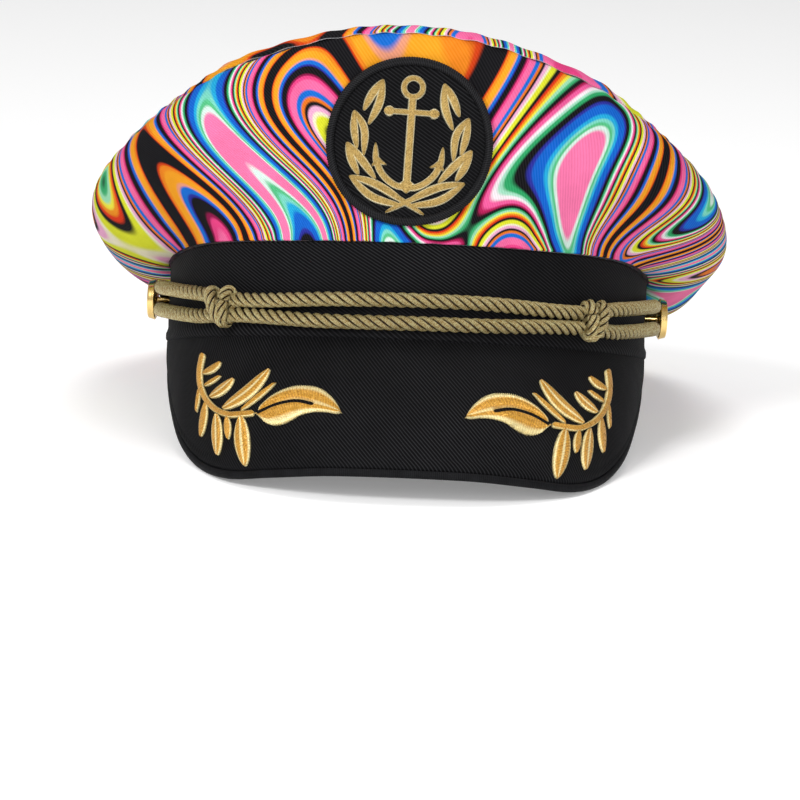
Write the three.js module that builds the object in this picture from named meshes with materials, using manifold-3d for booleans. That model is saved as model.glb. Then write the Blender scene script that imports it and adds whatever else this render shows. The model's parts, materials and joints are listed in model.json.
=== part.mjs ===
// A captain hat in millimetres, +Z up, its front towards -Y.
// The hat is worked out in the wearer's frame, where the band stands on the plane z = 0. It is then
// leaned back as it rests by itself: on the two low corners of its visor and the back of its band.

import * as THREE from 'three';
import { ParametricGeometry } from 'three/addons/geometries/ParametricGeometry.js';
import { mergeVertices } from 'three/addons/utils/BufferGeometryUtils.js';
import Module from 'manifold-3d';

// Band
const BAND_HALF_WIDTH = 85;
const BAND_HALF_LENGTH = 102;
const BAND_WALL = 2.4;
const BAND_FRONT_HEIGHT = 32.5;

// Sweatband inside the band, and the strap that draws the back in
const SWEATBAND_WALL = 1.4;
const SWEATBAND_HEIGHT = 16;
const STRAP_LENGTH = 62;
const STRAP_HEIGHT = 12;
const STRAP_WALL = 1.4;
const STRAP_LIFT = 2;

// Crown
const CROWN_HALF_WIDTH = 111;
const CROWN_HALF_LENGTH = 113;
const CROWN_SHIFT_BACK = 18;
const CROWN_HEIGHT = 106;
const CROWN_CLOTH = 1.6;
const CROWN_PROUD = 0.5;
const TOP_PUFF = 21;
const CROWN_SLOUCH = 1.2;
const SEAM_SQUARENESS = 2.15;
const SEAM_SQUARER_FRONT = 0.1;

// Visor and the piping round its edge
const VISOR_TURN = 84;
const VISOR_REACH = 38;
const VISOR_DROP = 48;
const VISOR_WALL = 2.2;
const VISOR_BULGE = 3;
const PIPING_RADIUS = 1.4;

// Round patch on the front of the crown, with its raised figures
const PATCH_RADIUS = 29.4;
const PATCH_WALL = 1.2;
const PATCH_HEIGHT = 67.2;
const PATCH_SIDE = -1.5;
const PATCH_BEND = 70;
const PATCH_TURN = -1.8;
const RIM_RADIUS = 1.3;
const EMBROIDERY_WALL = 0.9;

// Stiffener sheet and backing square inside the front
const STIFFENER_WALL = 0.8;
const STIFFENER_TURN = 52;
const STIFFENER_CLEARANCE = 0.9;
const BACKING_WIDTH = 34;
const BACKING_HEIGHT = 16;
const BACKING_WALL = 1;

// Cord, its two knots and the two buttons that hold it
const CORD_RADIUS = 2.6;
const CORD_PITCH = 8;
const KNOT_ANGLE = 45.5;
const KNOT_HEIGHT = 15;
const KNOT_WIDTH = 11;
const BUTTON_ANGLE = 96;
const BUTTON_RADIUS = 7.4;
const BUTTON_WALL = 2.6;
const SHANK_RADIUS = 0.95;

// Clearance between pieces that touch on the real hat
const GAP = 0.3;

// Fineness of the lofts: stations round the head and over the visor
const ROUND = 48;
const VISOR_STATIONS = 32;

// Height of the band by the turn from its front, in degrees, as a share of its front height.
const BAND_HEIGHTS = [
  { turn: 0, height: 1 },
  { turn: 30, height: 0.99 },
  { turn: 60, height: 0.96 },
  { turn: 90, height: 0.8 },
  { turn: 120, height: 0.65 },
  { turn: 180, height: 0.6 },
];

// Wall of the crown by the turn from its front. The seam's height is a share of the crown's height. The
// pull at the foot and at the seam bends the wall: outwards and upwards, in shares of the crown's height.
const CROWN_SECTIONS = [
  { turn: 0, seam: 1, footOut: -0.075, footUp: 0.185, headOut: 0.03, headUp: -0.26 },
  { turn: 30, seam: 0.883, footOut: -0.05, footUp: 0.2, headOut: 0.14, headUp: -0.16 },
  { turn: 45, seam: 0.76, footOut: -0.01, footUp: 0.18, headOut: 0.22, headUp: -0.11 },
  { turn: 60, seam: 0.645, footOut: 0.035, footUp: 0.1, headOut: 0.18, headUp: -0.12 },
  { turn: 90, seam: 0.45, footOut: 0.12, footUp: -0.02, headOut: 0.09, headUp: -0.13 },
  { turn: 120, seam: 0.29, footOut: 0.095, footUp: -0.09, headOut: 0.06, headUp: -0.11 },
  { turn: 150, seam: 0.205, footOut: 0.083, footUp: -0.13, headOut: 0.037, headUp: -0.108 },
  { turn: 180, seam: 0.165, footOut: 0.083, footUp: -0.135, headOut: 0.028, headUp: -0.1 },
];

// Lower edge of the visor from its middle to its end. across is a share of the band's half width, ahead a
// share of the way from the root's end to the visor's tip, drop a share of the visor's drop, and root is
// the share of the visor's turn where that line of the visor starts.
const VISOR_EDGE = [
  { root: 0, across: 0, ahead: 1, drop: 0.955 },
  { root: 0.18, across: 0.285, ahead: 0.985, drop: 0.96 },
  { root: 0.34, across: 0.52, ahead: 0.92, drop: 0.985 },
  { root: 0.5, across: 0.695, ahead: 0.825, drop: 1 },
  { root: 0.64, across: 0.815, ahead: 0.68, drop: 0.93 },
  { root: 0.76, across: 0.905, ahead: 0.5, drop: 0.75 },
  { root: 0.87, across: 0.96, ahead: 0.28, drop: 0.49 },
  { root: 0.95, across: 0.99, ahead: 0.1, drop: 0.22 },
  { root: 1, across: 0.998, ahead: 0.01, drop: 0.05 },
];

// Middle height of the two cord strands by the turn from the front, as a share of the band's front height.
const CORD_HEIGHTS = [
  { turn: 0, height: 0.268 },
  { turn: KNOT_ANGLE, height: 0.286 },
  { turn: BUTTON_ANGLE, height: 0.443 },
];

// Sprig on the visor, in shares of the band's half width and of the visor's drop, for the +X side.
const SPRIG_STEM = [
  { across: 0.815, drop: 0.14 },
  { across: 0.81, drop: 0.355 },
  { across: 0.75, drop: 0.54 },
  { across: 0.66, drop: 0.58 },
  { across: 0.59, drop: 0.55 },
];
const SPRIG_LEAVES = [
  { along: 1, across: 0.26, drop: 0.53, breadth: 0.52, bow: 0.12 },
  { along: 0.93, across: 0.515, drop: 0.34, breadth: 0.36, bow: 0 },
  { along: 0.74, across: 0.545, drop: 0.26, breadth: 0.34, bow: 0.1 },
  { along: 0.58, across: 0.685, drop: 0.32, breadth: 0.42, bow: 0 },
  { along: 0.4, across: 0.735, drop: 0.29, breadth: 0.36, bow: 0 },
  { along: 0.2, across: 0.74, drop: 0.19, breadth: 0.32, bow: 0 },
  { along: 0.93, across: 0.615, drop: 0.92, breadth: 0.3, bow: 0 },
  { along: 0.76, across: 0.69, drop: 0.74, breadth: 0.4, bow: 0 },
  { along: 0.62, across: 0.725, drop: 0.85, breadth: 0.28, bow: 0 },
  { along: 0.47, across: 0.8, drop: 0.72, breadth: 0.34, bow: 0 },
  { along: 0.33, across: 0.825, drop: 0.55, breadth: 0.42, bow: 0 },
];
const STEM_WIDTH = 1.5;

// Height of a sprig's back over the visor, enough for its flat facets to clear the visor's own.
const SPRIG_LIFT = 0.6;

// Wreath on the patch for the +X side, from the top leaf down, in shares of the patch's radius.
const WREATH_LEAVES = [
  { rootX: 0.525, rootY: 0.21, tipX: 0.365, tipY: 0.69, breadth: 0.38 },
  { rootX: 0.56, rootY: -0.14, tipX: 0.675, tipY: 0.345, breadth: 0.36 },
  { rootX: 0.43, rootY: -0.44, tipX: 0.74, tipY: -0.04, breadth: 0.36 },
];
const WREATH_FOOT = { rootX: 0.03, rootY: -0.735, tipX: 0.665, tipY: -0.43, breadth: 0.28 };
const WREATH_STALK = { tipX: -0.22, tipY: -0.825, width: 0.05 };

// Anchor on the patch, in shares of the patch's radius.
const ANCHOR_RING = { height: 0.64, radius: 0.1, width: 0.065 };
const ANCHOR_SHANK = { top: 0.56, bottom: -0.5, width: 0.085 };
const ANCHOR_STOCK = { height: 0.355, halfLength: 0.27, width: 0.055, ball: 0.055 };
const ANCHOR_ARMS = { tipX: 0.385, tipY: -0.04, bowX: 0.33, bowY: -0.4, foot: -0.58, width: 0.075 };
const ANCHOR_FLUKE = { length: 0.17, reach: 0.1 };

const wasm = await Module();
wasm.setup();

const radians = THREE.MathUtils.degToRad;

// Value of one column of a table between its rows, smooth and level at both ends.
function smoothColumn(rows, key, name, at) {
  const last = rows.length - 1;
  let i = 0;
  while (i < last - 1 && at > rows[i + 1][key]) i += 1;
  const slope = (k) => {
    if (k === 0 || k === last) return 0;
    return (rows[k + 1][name] - rows[k - 1][name]) / (rows[k + 1][key] - rows[k - 1][key]);
  };
  const span = rows[i + 1][key] - rows[i][key];
  const t = THREE.MathUtils.clamp((at - rows[i][key]) / span, 0, 1);
  const t2 = t * t;
  const t3 = t2 * t;
  return (
    rows[i][name] * (2 * t3 - 3 * t2 + 1) +
    slope(i) * span * (t3 - 2 * t2 + t) +
    rows[i + 1][name] * (3 * t2 - 2 * t3) +
    slope(i + 1) * span * (t3 - t2)
  );
}

// Turn from the front, 0 to 180 degrees, of an angle that runs all round from the front towards +X.
function turnOf(angle) {
  return THREE.MathUtils.radToDeg(Math.acos(THREE.MathUtils.clamp(Math.cos(angle), -1, 1)));
}

// Point of the oval round the head at an angle, moved outwards from the band's outer face.
function ovalPoint(angle, outwards, height) {
  const out = ovalNormal(angle);
  return new THREE.Vector3(
    BAND_HALF_WIDTH * Math.sin(angle) + out.x * outwards,
    -BAND_HALF_LENGTH * Math.cos(angle) + out.y * outwards,
    height,
  );
}

function ovalNormal(angle) {
  return new THREE.Vector3(
    Math.sin(angle) / BAND_HALF_WIDTH,
    -Math.cos(angle) / BAND_HALF_LENGTH,
    0,
  ).normalize();
}

function bandTop(angle) {
  return BAND_FRONT_HEIGHT * smoothColumn(BAND_HEIGHTS, 'turn', 'height', turnOf(angle));
}

// Seam between the side and the top of the crown: a rounded box in plan, squarer at the front.
function seamPoint(angle) {
  const power = 2 / (SEAM_SQUARENESS + SEAM_SQUARER_FRONT * Math.cos(angle));
  const sine = Math.sin(angle);
  const cosine = Math.cos(angle);
  const x = CROWN_HALF_WIDTH * Math.sign(sine) * Math.abs(sine) ** power;
  const y = CROWN_SHIFT_BACK - CROWN_HALF_LENGTH * Math.sign(cosine) * Math.abs(cosine) ** power;
  const rise = CROWN_HEIGHT * smoothColumn(CROWN_SECTIONS, 'turn', 'seam', turnOf(angle));
  return new THREE.Vector3(x, y, rise - x * Math.tan(radians(CROWN_SLOUCH)));
}

// Outer face of the crown's side: share 0 on the band, 1 at the seam.
function sideFace(angle, share) {
  const turn = turnOf(angle);
  const pull = (name) => CROWN_HEIGHT * smoothColumn(CROWN_SECTIONS, 'turn', name, turn);
  const foot = ovalPoint(angle, CROWN_PROUD, bandTop(angle) + GAP);
  const head = seamPoint(angle);
  const out = ovalNormal(angle);
  const low = foot.clone().addScaledVector(out, pull('footOut'));
  low.z += pull('footUp');
  const high = head.clone().addScaledVector(out, pull('headOut'));
  high.z += pull('headUp');
  return new THREE.CubicBezierCurve3(foot, low, high, head).getPoint(share);
}

// Outer face of the crown's top: share 0 over the seam, 1 at the middle.
function topFace(angle, share) {
  const rim = seamPoint(angle);
  const middle = new THREE.Vector3(0, CROWN_SHIFT_BACK, CROWN_HEIGHT * 0.55);
  const point = rim.lerp(middle, share);
  point.z += TOP_PUFF * (1 - (1 - share) ** 2.4);
  return point;
}

// Upper face of the visor: share 0 at the root under the band, 1 at the edge. side runs from -1 to 1.
function visorFace(side, share) {
  const place = Math.abs(side);
  const row = (name) => visorColumn(name, place);
  const hand = Math.sign(side) || 1;
  const turn = radians(VISOR_TURN) * row('root') * hand;
  const root = ovalPoint(turn, 0, -GAP);
  const rootEnd = ovalPoint(radians(VISOR_TURN), 0, -GAP).y;
  const tip = -BAND_HALF_LENGTH - VISOR_REACH;
  const edge = new THREE.Vector3(
    BAND_HALF_WIDTH * row('across') * hand,
    THREE.MathUtils.lerp(rootEnd, tip, row('ahead')),
    -VISOR_DROP * row('drop'),
  );
  const point = root.clone().lerp(edge, share);
  const lift = VISOR_BULGE * 4 * share * (1 - share) * Math.cos(turn);
  return point.addScaledVector(ovalNormal(turn).setZ(0.8).normalize(), lift);
}

// Column of the visor's table, its rows spread evenly over the half visor.
function visorColumn(name, place) {
  const steps = VISOR_EDGE.length - 1;
  const rows = VISOR_EDGE.map((row, i) => ({ place: i / steps, value: row[name] }));
  const end = rows[steps];
  const before = rows[steps - 1];
  rows.push({ place: 1 + 1 / steps, value: 2 * end.value - before.value });
  return smoothColumn(rows, 'place', 'value', place);
}

// Unit normal of a face by small steps along it; hand turns it round.
function faceNormal(face, a, b, hand) {
  const step = 1e-3;
  const alongA = face(a + step, b).sub(face(a - step, b));
  const alongB = face(a, b + step).sub(face(a, b - step));
  return alongA.cross(alongB).normalize().multiplyScalar(hand);
}

// The foot of the side is cut level where it stands on the band.
function sideOffset(angle, share, out) {
  const normal = faceNormal(sideFace, angle, share, 1);
  if (share === 0) normal.z = Math.min(normal.z, 0);
  return sideFace(angle, share).addScaledVector(normal, out);
}

// The top is lifted off the side's upper rim by its own cloth and the gap.
function topOffset(angle, share, out) {
  const lift = CROWN_CLOTH + GAP;
  if (share > 0.999) return topFace(angle, 1).add(new THREE.Vector3(0, 0, lift + out));
  return topFace(angle, share).addScaledVector(faceNormal(topFace, angle, share, 1), lift + out);
}

const visorOffset = (side, share, out) =>
  visorFace(side, share).addScaledVector(faceNormal(visorFace, side, share, -1), out);

// One closed body: the doubled points of a geometry are merged and its flat triangles dropped.
function weld(geometry) {
  const bare = new THREE.BufferGeometry();
  bare.setAttribute('position', geometry.getAttribute('position'));
  bare.setIndex(geometry.index);
  const merged = mergeVertices(bare, 1e-3);
  const index = merged.index.array;
  const kept = [];
  for (let i = 0; i < index.length; i += 3) {
    const [a, b, c] = [index[i], index[i + 1], index[i + 2]];
    if (a !== b && b !== c && c !== a) kept.push(a, b, c);
  }
  merged.setIndex(kept);
  return volume(merged) < 0 ? turnedOut(merged) : merged;
}

function volume(geometry) {
  const place = geometry.getAttribute('position');
  const index = geometry.index.array;
  const corner = (i) => new THREE.Vector3().fromBufferAttribute(place, index[i]);
  let sum = 0;
  for (let i = 0; i < index.length; i += 3) {
    sum += corner(i).dot(corner(i + 1).cross(corner(i + 2))) / 6;
  }
  return sum;
}

function turnedOut(geometry) {
  const index = Array.from(geometry.index.array);
  for (let i = 0; i < index.length; i += 3) {
    [index[i + 1], index[i + 2]] = [index[i + 2], index[i + 1]];
  }
  geometry.setIndex(index);
  return geometry;
}

// Body between two offsets of a face, all round the head: section points run up outside and down inside.
function ringShell(place, stations, rises) {
  const points = 2 * (rises + 1);
  const shape = (u, v, target) => {
    const k = Math.round(v * points) % points;
    const outside = k <= rises;
    const share = outside ? k / rises : (points - 1 - k) / rises;
    target.copy(place(2 * Math.PI * u, share, outside));
  };
  return weld(new ParametricGeometry(shape, stations, points));
}

// Body between two offsets of a face with four free edges.
function sheetShell(place, stations, rises) {
  const points = 2 * (rises + 1);
  const section = (u, v, target) => {
    const k = Math.round(v * points) % points;
    const outside = k <= rises;
    const share = outside ? k / rises : (points - 1 - k) / rises;
    target.copy(place(u, share, outside));
  };
  const cap = (u) => (a, b, target) => target.copy(place(u, a, b < 0.5));
  return weld(
    joined([
      new ParametricGeometry(section, stations, points),
      new ParametricGeometry(cap(0), rises, 1),
      turnedOut(new ParametricGeometry(cap(1), rises, 1)),
    ]),
  );
}

// Triangles of several geometries in one.
function joined(parts) {
  const places = parts.flatMap((part) => Array.from(part.toNonIndexed().getAttribute('position').array));
  const whole = new THREE.BufferGeometry();
  whole.setAttribute('position', new THREE.Float32BufferAttribute(places, 3));
  return whole;
}

// Rope of round section along a curve.
function rope(curve, radius, steps, sides) {
  const section = new THREE.Shape();
  for (let i = 0; i < sides; i += 1) {
    const angle = (2 * Math.PI * i) / sides;
    const [x, y] = [radius * Math.cos(angle), radius * Math.sin(angle)];
    if (i === 0) section.moveTo(x, y);
    else section.lineTo(x, y);
  }
  return weld(new THREE.ExtrudeGeometry(section, { steps, extrudePath: curve, bevelEnabled: false }));
}

function solidOf(geometry) {
  return new wasm.Manifold(
    new wasm.Mesh({
      numProp: 3,
      vertProperties: geometry.getAttribute('position').array,
      triVerts: new Uint32Array(geometry.index.array),
    }),
  );
}

// Several closed bodies made one.
function fused(geometries) {
  const solid = geometries.map(solidOf).reduce((whole, next) => whole.add(next));
  const mesh = solid.getMesh();
  const geometry = new THREE.BufferGeometry();
  geometry.setAttribute('position', new THREE.BufferAttribute(mesh.vertProperties, 3));
  geometry.setIndex(Array.from(mesh.triVerts));
  return geometry;
}

// Flat outline raised to the thickness of an embroidered figure.
function raised(outline, detail) {
  return weld(
    new THREE.ExtrudeGeometry(outline, {
      depth: EMBROIDERY_WALL,
      bevelEnabled: false,
      curveSegments: detail,
    }),
  );
}

// Leaf with a pointed root and tip, bowed to one side.
function leafOutline(root, tip, breadth, bow) {
  const along = tip.clone().sub(root);
  const across = new THREE.Vector2(-along.y, along.x);
  const at = (share, side) => root.clone().addScaledVector(along, share).addScaledVector(across, side);
  const left = at(0.45, breadth + bow);
  const right = at(0.45, bow - breadth);
  const leaf = new THREE.Shape();
  leaf.moveTo(root.x, root.y);
  leaf.quadraticCurveTo(left.x, left.y, tip.x, tip.y);
  leaf.quadraticCurveTo(right.x, right.y, root.x, root.y);
  return leaf;
}

// Strip of even width along a flat curve.
function stripOutline(curve, width, pieces) {
  const edge = (side) =>
    Array.from({ length: pieces + 1 }, (_, i) => {
      const tangent = curve.getTangent(i / pieces);
      return curve.getPoint(i / pieces).add(new THREE.Vector2(-tangent.y, tangent.x).multiplyScalar(side));
    });
  return new THREE.Shape([...edge(width / 2), ...edge(-width / 2).reverse()]);
}

// Lays a flat body on a face: its x and y are the sideways and upward place seen from the front, its z
// the height over the face. The place on the face is found by Newton's steps.
function laidOn(geometry, offsetFace, start, lift) {
  const place = geometry.getAttribute('position');
  const seen = (a, b) => {
    const p = offsetFace(a, b, lift);
    return new THREE.Vector2(p.x, p.z);
  };
  for (let i = 0; i < place.count; i += 1) {
    const goal = new THREE.Vector2(place.getX(i), place.getY(i));
    let { a, b } = start(goal);
    for (let turn = 0; turn < 16; turn += 1) {
      const here = seen(a, b);
      const da = seen(a + 1e-3, b).sub(here).divideScalar(1e-3);
      const db = seen(a, b + 1e-3).sub(here).divideScalar(1e-3);
      const miss = goal.clone().sub(here);
      const scale = da.x * db.y - da.y * db.x;
      a += THREE.MathUtils.clamp((miss.x * db.y - miss.y * db.x) / scale, -0.1, 0.1);
      b += THREE.MathUtils.clamp((miss.y * da.x - miss.x * da.y) / scale, -0.2, 0.2);
    }
    const p = offsetFace(a, b, lift + place.getZ(i));
    place.setXYZ(i, p.x, p.y, p.z);
  }
  place.needsUpdate = true;
  return volume(geometry) < 0 ? turnedOut(geometry) : geometry;
}

// Patch figures: from shares of the patch's radius to the front of the crown.
function onPatch(geometry, lift) {
  geometry.rotateZ(radians(PATCH_TURN));
  const place = geometry.getAttribute('position');
  for (let i = 0; i < place.count; i += 1) {
    place.setX(i, PATCH_BEND * Math.sin(place.getX(i) / PATCH_BEND));
  }
  geometry.translate(PATCH_SIDE, PATCH_HEIGHT, 0);
  return laidOn(geometry, sideOffset, (goal) => ({ a: goal.x / BAND_HALF_LENGTH, b: 0.5 }), lift);
}

function onVisor(geometry, lift) {
  const start = (goal) => ({ a: (0.6 * goal.x) / BAND_HALF_WIDTH, b: -goal.y / VISOR_DROP });
  return laidOn(geometry, visorOffset, start, lift);
}

const patchPoint = (x, y) => new THREE.Vector2(x * PATCH_RADIUS, y * PATCH_RADIUS);

const hat = new THREE.Group();

function add(name, geometry, color, roughness, metalness = 0) {
  geometry.computeVertexNormals();
  const mesh = new THREE.Mesh(geometry, new THREE.MeshStandardMaterial({ color, roughness, metalness }));
  mesh.name = name;
  hat.add(mesh);
}

const BLACK = 0x15151a;
const GOLD = 0xc9a552;
const PRINT = 0xe8702c;

function addBand() {
  const wall = (angle, share, outside) =>
    ovalPoint(angle, outside ? 0 : -BAND_WALL, share * bandTop(angle));
  add('band', ringShell(wall, ROUND, 1), BLACK, 0.85);
}

function addSweatband() {
  const outer = -BAND_WALL - GAP;
  const wall = (angle, share, outside) =>
    ovalPoint(angle, outside ? outer : outer - SWEATBAND_WALL, share * SWEATBAND_HEIGHT);
  add('sweatband', ringShell(wall, ROUND, 1), BLACK, 0.8);
}

// The strap runs straight across the back of the sweatband, its ends against it.
function addRearStrap() {
  const inset = BAND_WALL + GAP + SWEATBAND_WALL + GAP;
  const share = STRAP_LENGTH / 2 / (BAND_HALF_WIDTH - inset);
  const back = (BAND_HALF_LENGTH - inset) * Math.sqrt(1 - share * share);
  const strap = new THREE.BoxGeometry(STRAP_LENGTH, STRAP_WALL, STRAP_HEIGHT);
  strap.translate(0, back - STRAP_WALL / 2, STRAP_LIFT + STRAP_HEIGHT / 2);
  add('rear_strap', weld(strap), BLACK, 0.7);
}

function addCrown() {
  const side = (angle, share, outside) => sideOffset(angle, share, outside ? 0 : -CROWN_CLOTH);
  add('crown_side', ringShell(side, ROUND, 7), PRINT, 0.8);
  const top = (angle, share, outside) => topOffset(angle, share, outside ? 0 : -CROWN_CLOTH);
  add('crown_top', ringShell(top, ROUND, 6), PRINT, 0.8);
}

// A clear sheet stands inside the front of the crown, against its cloth.
function addStiffener() {
  const inside = -CROWN_CLOTH - STIFFENER_CLEARANCE;
  const sheet = (u, share, outside) => {
    const angle = radians(STIFFENER_TURN) * (2 * u - 1);
    return sideOffset(angle, 0.06 + 0.7 * share, outside ? inside : inside - STIFFENER_WALL);
  };
  add('front_stiffener', sheetShell(sheet, 18, 4), 0xdfe4e8, 0.15);
}

// A black square on the inside of the stiffener carries the back of the patch.
function addPatchBacking() {
  const inside = -CROWN_CLOTH - STIFFENER_CLEARANCE - STIFFENER_WALL - GAP;
  const span = BACKING_WIDTH / 2 / BAND_HALF_LENGTH;
  const rise = BACKING_HEIGHT / (CROWN_HEIGHT - BAND_FRONT_HEIGHT);
  const sheet = (u, share, outside) =>
    sideOffset(span * (2 * u - 1), 0.12 + rise * share, outside ? inside : inside - BACKING_WALL);
  add('patch_backing', sheetShell(sheet, 6, 2), BLACK, 0.6);
}

function addVisor() {
  const board = (u, share, outside) => visorOffset(2 * u - 1, share, outside ? 0 : -VISOR_WALL);
  add('visor', sheetShell(board, VISOR_STATIONS, 5), BLACK, 0.8);
  const away = PIPING_RADIUS + GAP;
  const points = Array.from({ length: VISOR_STATIONS + 1 }, (_, i) => {
    const side = (2 * i) / VISOR_STATIONS - 1;
    const middle = visorOffset(side, 1, -VISOR_WALL / 2);
    const along = visorFace(side + 1e-3, 1).sub(visorFace(side - 1e-3, 1));
    const out = along.cross(faceNormal(visorFace, side, 1, -1)).normalize();
    return middle.addScaledVector(out, away);
  });
  const edge = new THREE.CatmullRomCurve3(points);
  add('visor_piping', rope(edge, PIPING_RADIUS, 40, 6), BLACK, 0.6);
}

function addPatch() {
  const inner = PATCH_RADIUS - 2 * RIM_RADIUS - GAP;
  const section = [
    [0, PATCH_WALL],
    [inner / 2, PATCH_WALL],
    [inner, PATCH_WALL],
    [inner, 0],
    [inner / 2, 0],
    [0, 0],
  ].map(([r, z]) => new THREE.Vector2(r, z));
  const disc = new THREE.LatheGeometry(section, 28).rotateX(Math.PI / 2);
  add('patch_disc', onPatch(weld(disc), GAP), BLACK, 0.85);
  const rim = new THREE.TorusGeometry(PATCH_RADIUS - RIM_RADIUS, RIM_RADIUS, 5, 36);
  rim.translate(0, 0, RIM_RADIUS);
  add('patch_rim', onPatch(weld(rim), GAP), BLACK, 0.7);
}

function addAnchor() {
  const wire = (ANCHOR_RING.width / 2) * PATCH_RADIUS;
  const eye = weld(new THREE.TorusGeometry(ANCHOR_RING.radius * PATCH_RADIUS, wire, 4, 16));
  eye.scale(1, 1, EMBROIDERY_WALL / 2 / wire);
  eye.translate(0, ANCHOR_RING.height * PATCH_RADIUS, EMBROIDERY_WALL / 2);
  const line = (x0, y0, x1, y1) => new THREE.LineCurve(patchPoint(x0, y0), patchPoint(x1, y1));
  const { top, bottom, width } = ANCHOR_SHANK;
  const pieces = [eye, raised(stripOutline(line(0, bottom, 0, top), width * PATCH_RADIUS, 4), 1)];
  const stock = ANCHOR_STOCK;
  const bar = line(-stock.halfLength, stock.height, stock.halfLength, stock.height);
  pieces.push(raised(stripOutline(bar, stock.width * PATCH_RADIUS, 2), 1));
  for (const side of [-1, 1]) {
    const ball = new THREE.Shape().absarc(0, 0, stock.ball * PATCH_RADIUS, 0, 2 * Math.PI);
    const middle = patchPoint(side * stock.halfLength, stock.height);
    pieces.push(raised(ball, 2).translate(middle.x, middle.y, 0));
    const arms = ANCHOR_ARMS;
    const arm = new THREE.QuadraticBezierCurve(
      patchPoint(0, arms.foot + arms.width),
      patchPoint(side * arms.bowX, arms.bowY - 0.14),
      patchPoint(side * arms.tipX, arms.tipY - ANCHOR_FLUKE.length),
    );
    pieces.push(raised(stripOutline(arm, arms.width * PATCH_RADIUS, 6), 1));
    const root = patchPoint(side * arms.tipX, arms.tipY - 1.5 * ANCHOR_FLUKE.length);
    const barb = patchPoint(side * (arms.tipX - ANCHOR_FLUKE.reach), arms.tipY - 1.3 * ANCHOR_FLUKE.length);
    const outer = patchPoint(side * (arms.tipX + 0.04), arms.tipY - ANCHOR_FLUKE.length);
    const tip = patchPoint(side * arms.tipX, arms.tipY);
    const corners = side > 0 ? [root, outer, tip, barb] : [root, barb, tip, outer];
    pieces.push(raised(new THREE.Shape(corners), 1));
  }
  const foot = new THREE.Shape([
    patchPoint(-0.08, ANCHOR_ARMS.foot + 0.14),
    patchPoint(0, ANCHOR_ARMS.foot - 0.02),
    patchPoint(0.08, ANCHOR_ARMS.foot + 0.14),
  ]);
  pieces.push(raised(foot, 1));
  add('patch_anchor', onPatch(fused(pieces), 2 * GAP + PATCH_WALL), GOLD, 0.45, 0.6);
}

function addWreath() {
  const lift = 2 * GAP + PATCH_WALL;
  const leaf = (row, side) => {
    const root = patchPoint(side * row.rootX, row.rootY);
    return raised(leafOutline(root, patchPoint(side * row.tipX, row.tipY), row.breadth, 0), 4);
  };
  for (const [hand, side] of [['left', -1], ['right', 1]]) {
    WREATH_LEAVES.forEach((row, i) => {
      add(`wreath_leaf_${hand}_${i + 1}`, onPatch(leaf(row, side), lift), GOLD, 0.45, 0.6);
    });
  }
  const foot = [-1, 1].flatMap((side) => {
    const from = patchPoint(side * (WREATH_FOOT.rootX + 0.06), WREATH_FOOT.rootY + 0.03);
    const to = patchPoint(side * WREATH_STALK.tipX, WREATH_STALK.tipY);
    const stalk = new THREE.LineCurve(from, to);
    return [leaf(WREATH_FOOT, side), raised(stripOutline(stalk, WREATH_STALK.width * PATCH_RADIUS, 2), 1)];
  });
  add('wreath_foot', onPatch(fused(foot), lift), GOLD, 0.45, 0.6);
}

function addSprigs() {
  const at = (row, side) => new THREE.Vector2(side * row.across * BAND_HALF_WIDTH, -row.drop * VISOR_DROP);
  for (const [hand, side] of [['left', -1], ['right', 1]]) {
    const stem = new THREE.SplineCurve(SPRIG_STEM.map((row) => at(row, side)));
    const leaves = SPRIG_LEAVES.map((row) => {
      const tip = at(row, side);
      const root = stem.getPoint(row.along);
      root.addScaledVector(tip.clone().sub(root).normalize(), -STEM_WIDTH);
      return raised(leafOutline(root, tip, row.breadth, -side * row.bow), 3);
    });
    const pieces = [raised(stripOutline(stem, STEM_WIDTH, 7), 1), ...leaves];
    add(`visor_sprig_${hand}`, onVisor(fused(pieces), SPRIG_LIFT), GOLD, 0.45, 0.6);
  }
}

const CORD_OUT = CORD_RADIUS + GAP;

// Middle line of a cord strand: level is 1 for the upper strand and -1 for the lower.
function strandPoint(angle, level) {
  const height = BAND_FRONT_HEIGHT * smoothColumn(CORD_HEIGHTS, 'turn', 'height', turnOf(angle));
  return ovalPoint(angle, CORD_OUT, height + (level * CORD_PITCH) / 2);
}

// Angle that a length along the cord's line takes up near a place on the oval.
function angleFor(length, angle) {
  return length / ovalPoint(angle + 0.5, CORD_OUT, 0).distanceTo(ovalPoint(angle - 0.5, CORD_OUT, 0));
}

function addCord() {
  const knot = radians(KNOT_ANGLE);
  const clear = angleFor(KNOT_WIDTH / 2 + 3 * GAP, knot);
  const button = radians(BUTTON_ANGLE);
  const span = (from, to, level, pieces) =>
    Array.from({ length: pieces + 1 }, (_, i) => strandPoint(from + ((to - from) * i) / pieces, level));
  for (const [name, level] of [['upper', 1], ['lower', -1]]) {
    const front = new THREE.CatmullRomCurve3(span(clear - knot, knot - clear, level, 16));
    add(`cord_front_${name}`, rope(front, CORD_RADIUS, 32, 6), GOLD, 0.5, 0.5);
  }
  for (const [hand, side] of [['left', -1], ['right', 1]]) {
    const from = side * (knot + clear);
    const turns = 6;
    const bend = Array.from({ length: turns - 1 }, (_, i) => {
      const t = (Math.PI * (i + 1)) / turns;
      const angle = side * (button + angleFor((CORD_PITCH / 2) * Math.sin(t), button));
      return strandPoint(angle, Math.cos(t));
    });
    const path = [
      ...span(from, side * button, 1, 7),
      ...bend,
      ...span(side * button, from, -1, 7),
    ];
    const loop = new THREE.CatmullRomCurve3(path, false, 'centripetal');
    add(`cord_loop_${hand}`, rope(loop, CORD_RADIUS, 44, 6), GOLD, 0.5, 0.5);
  }
}

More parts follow.
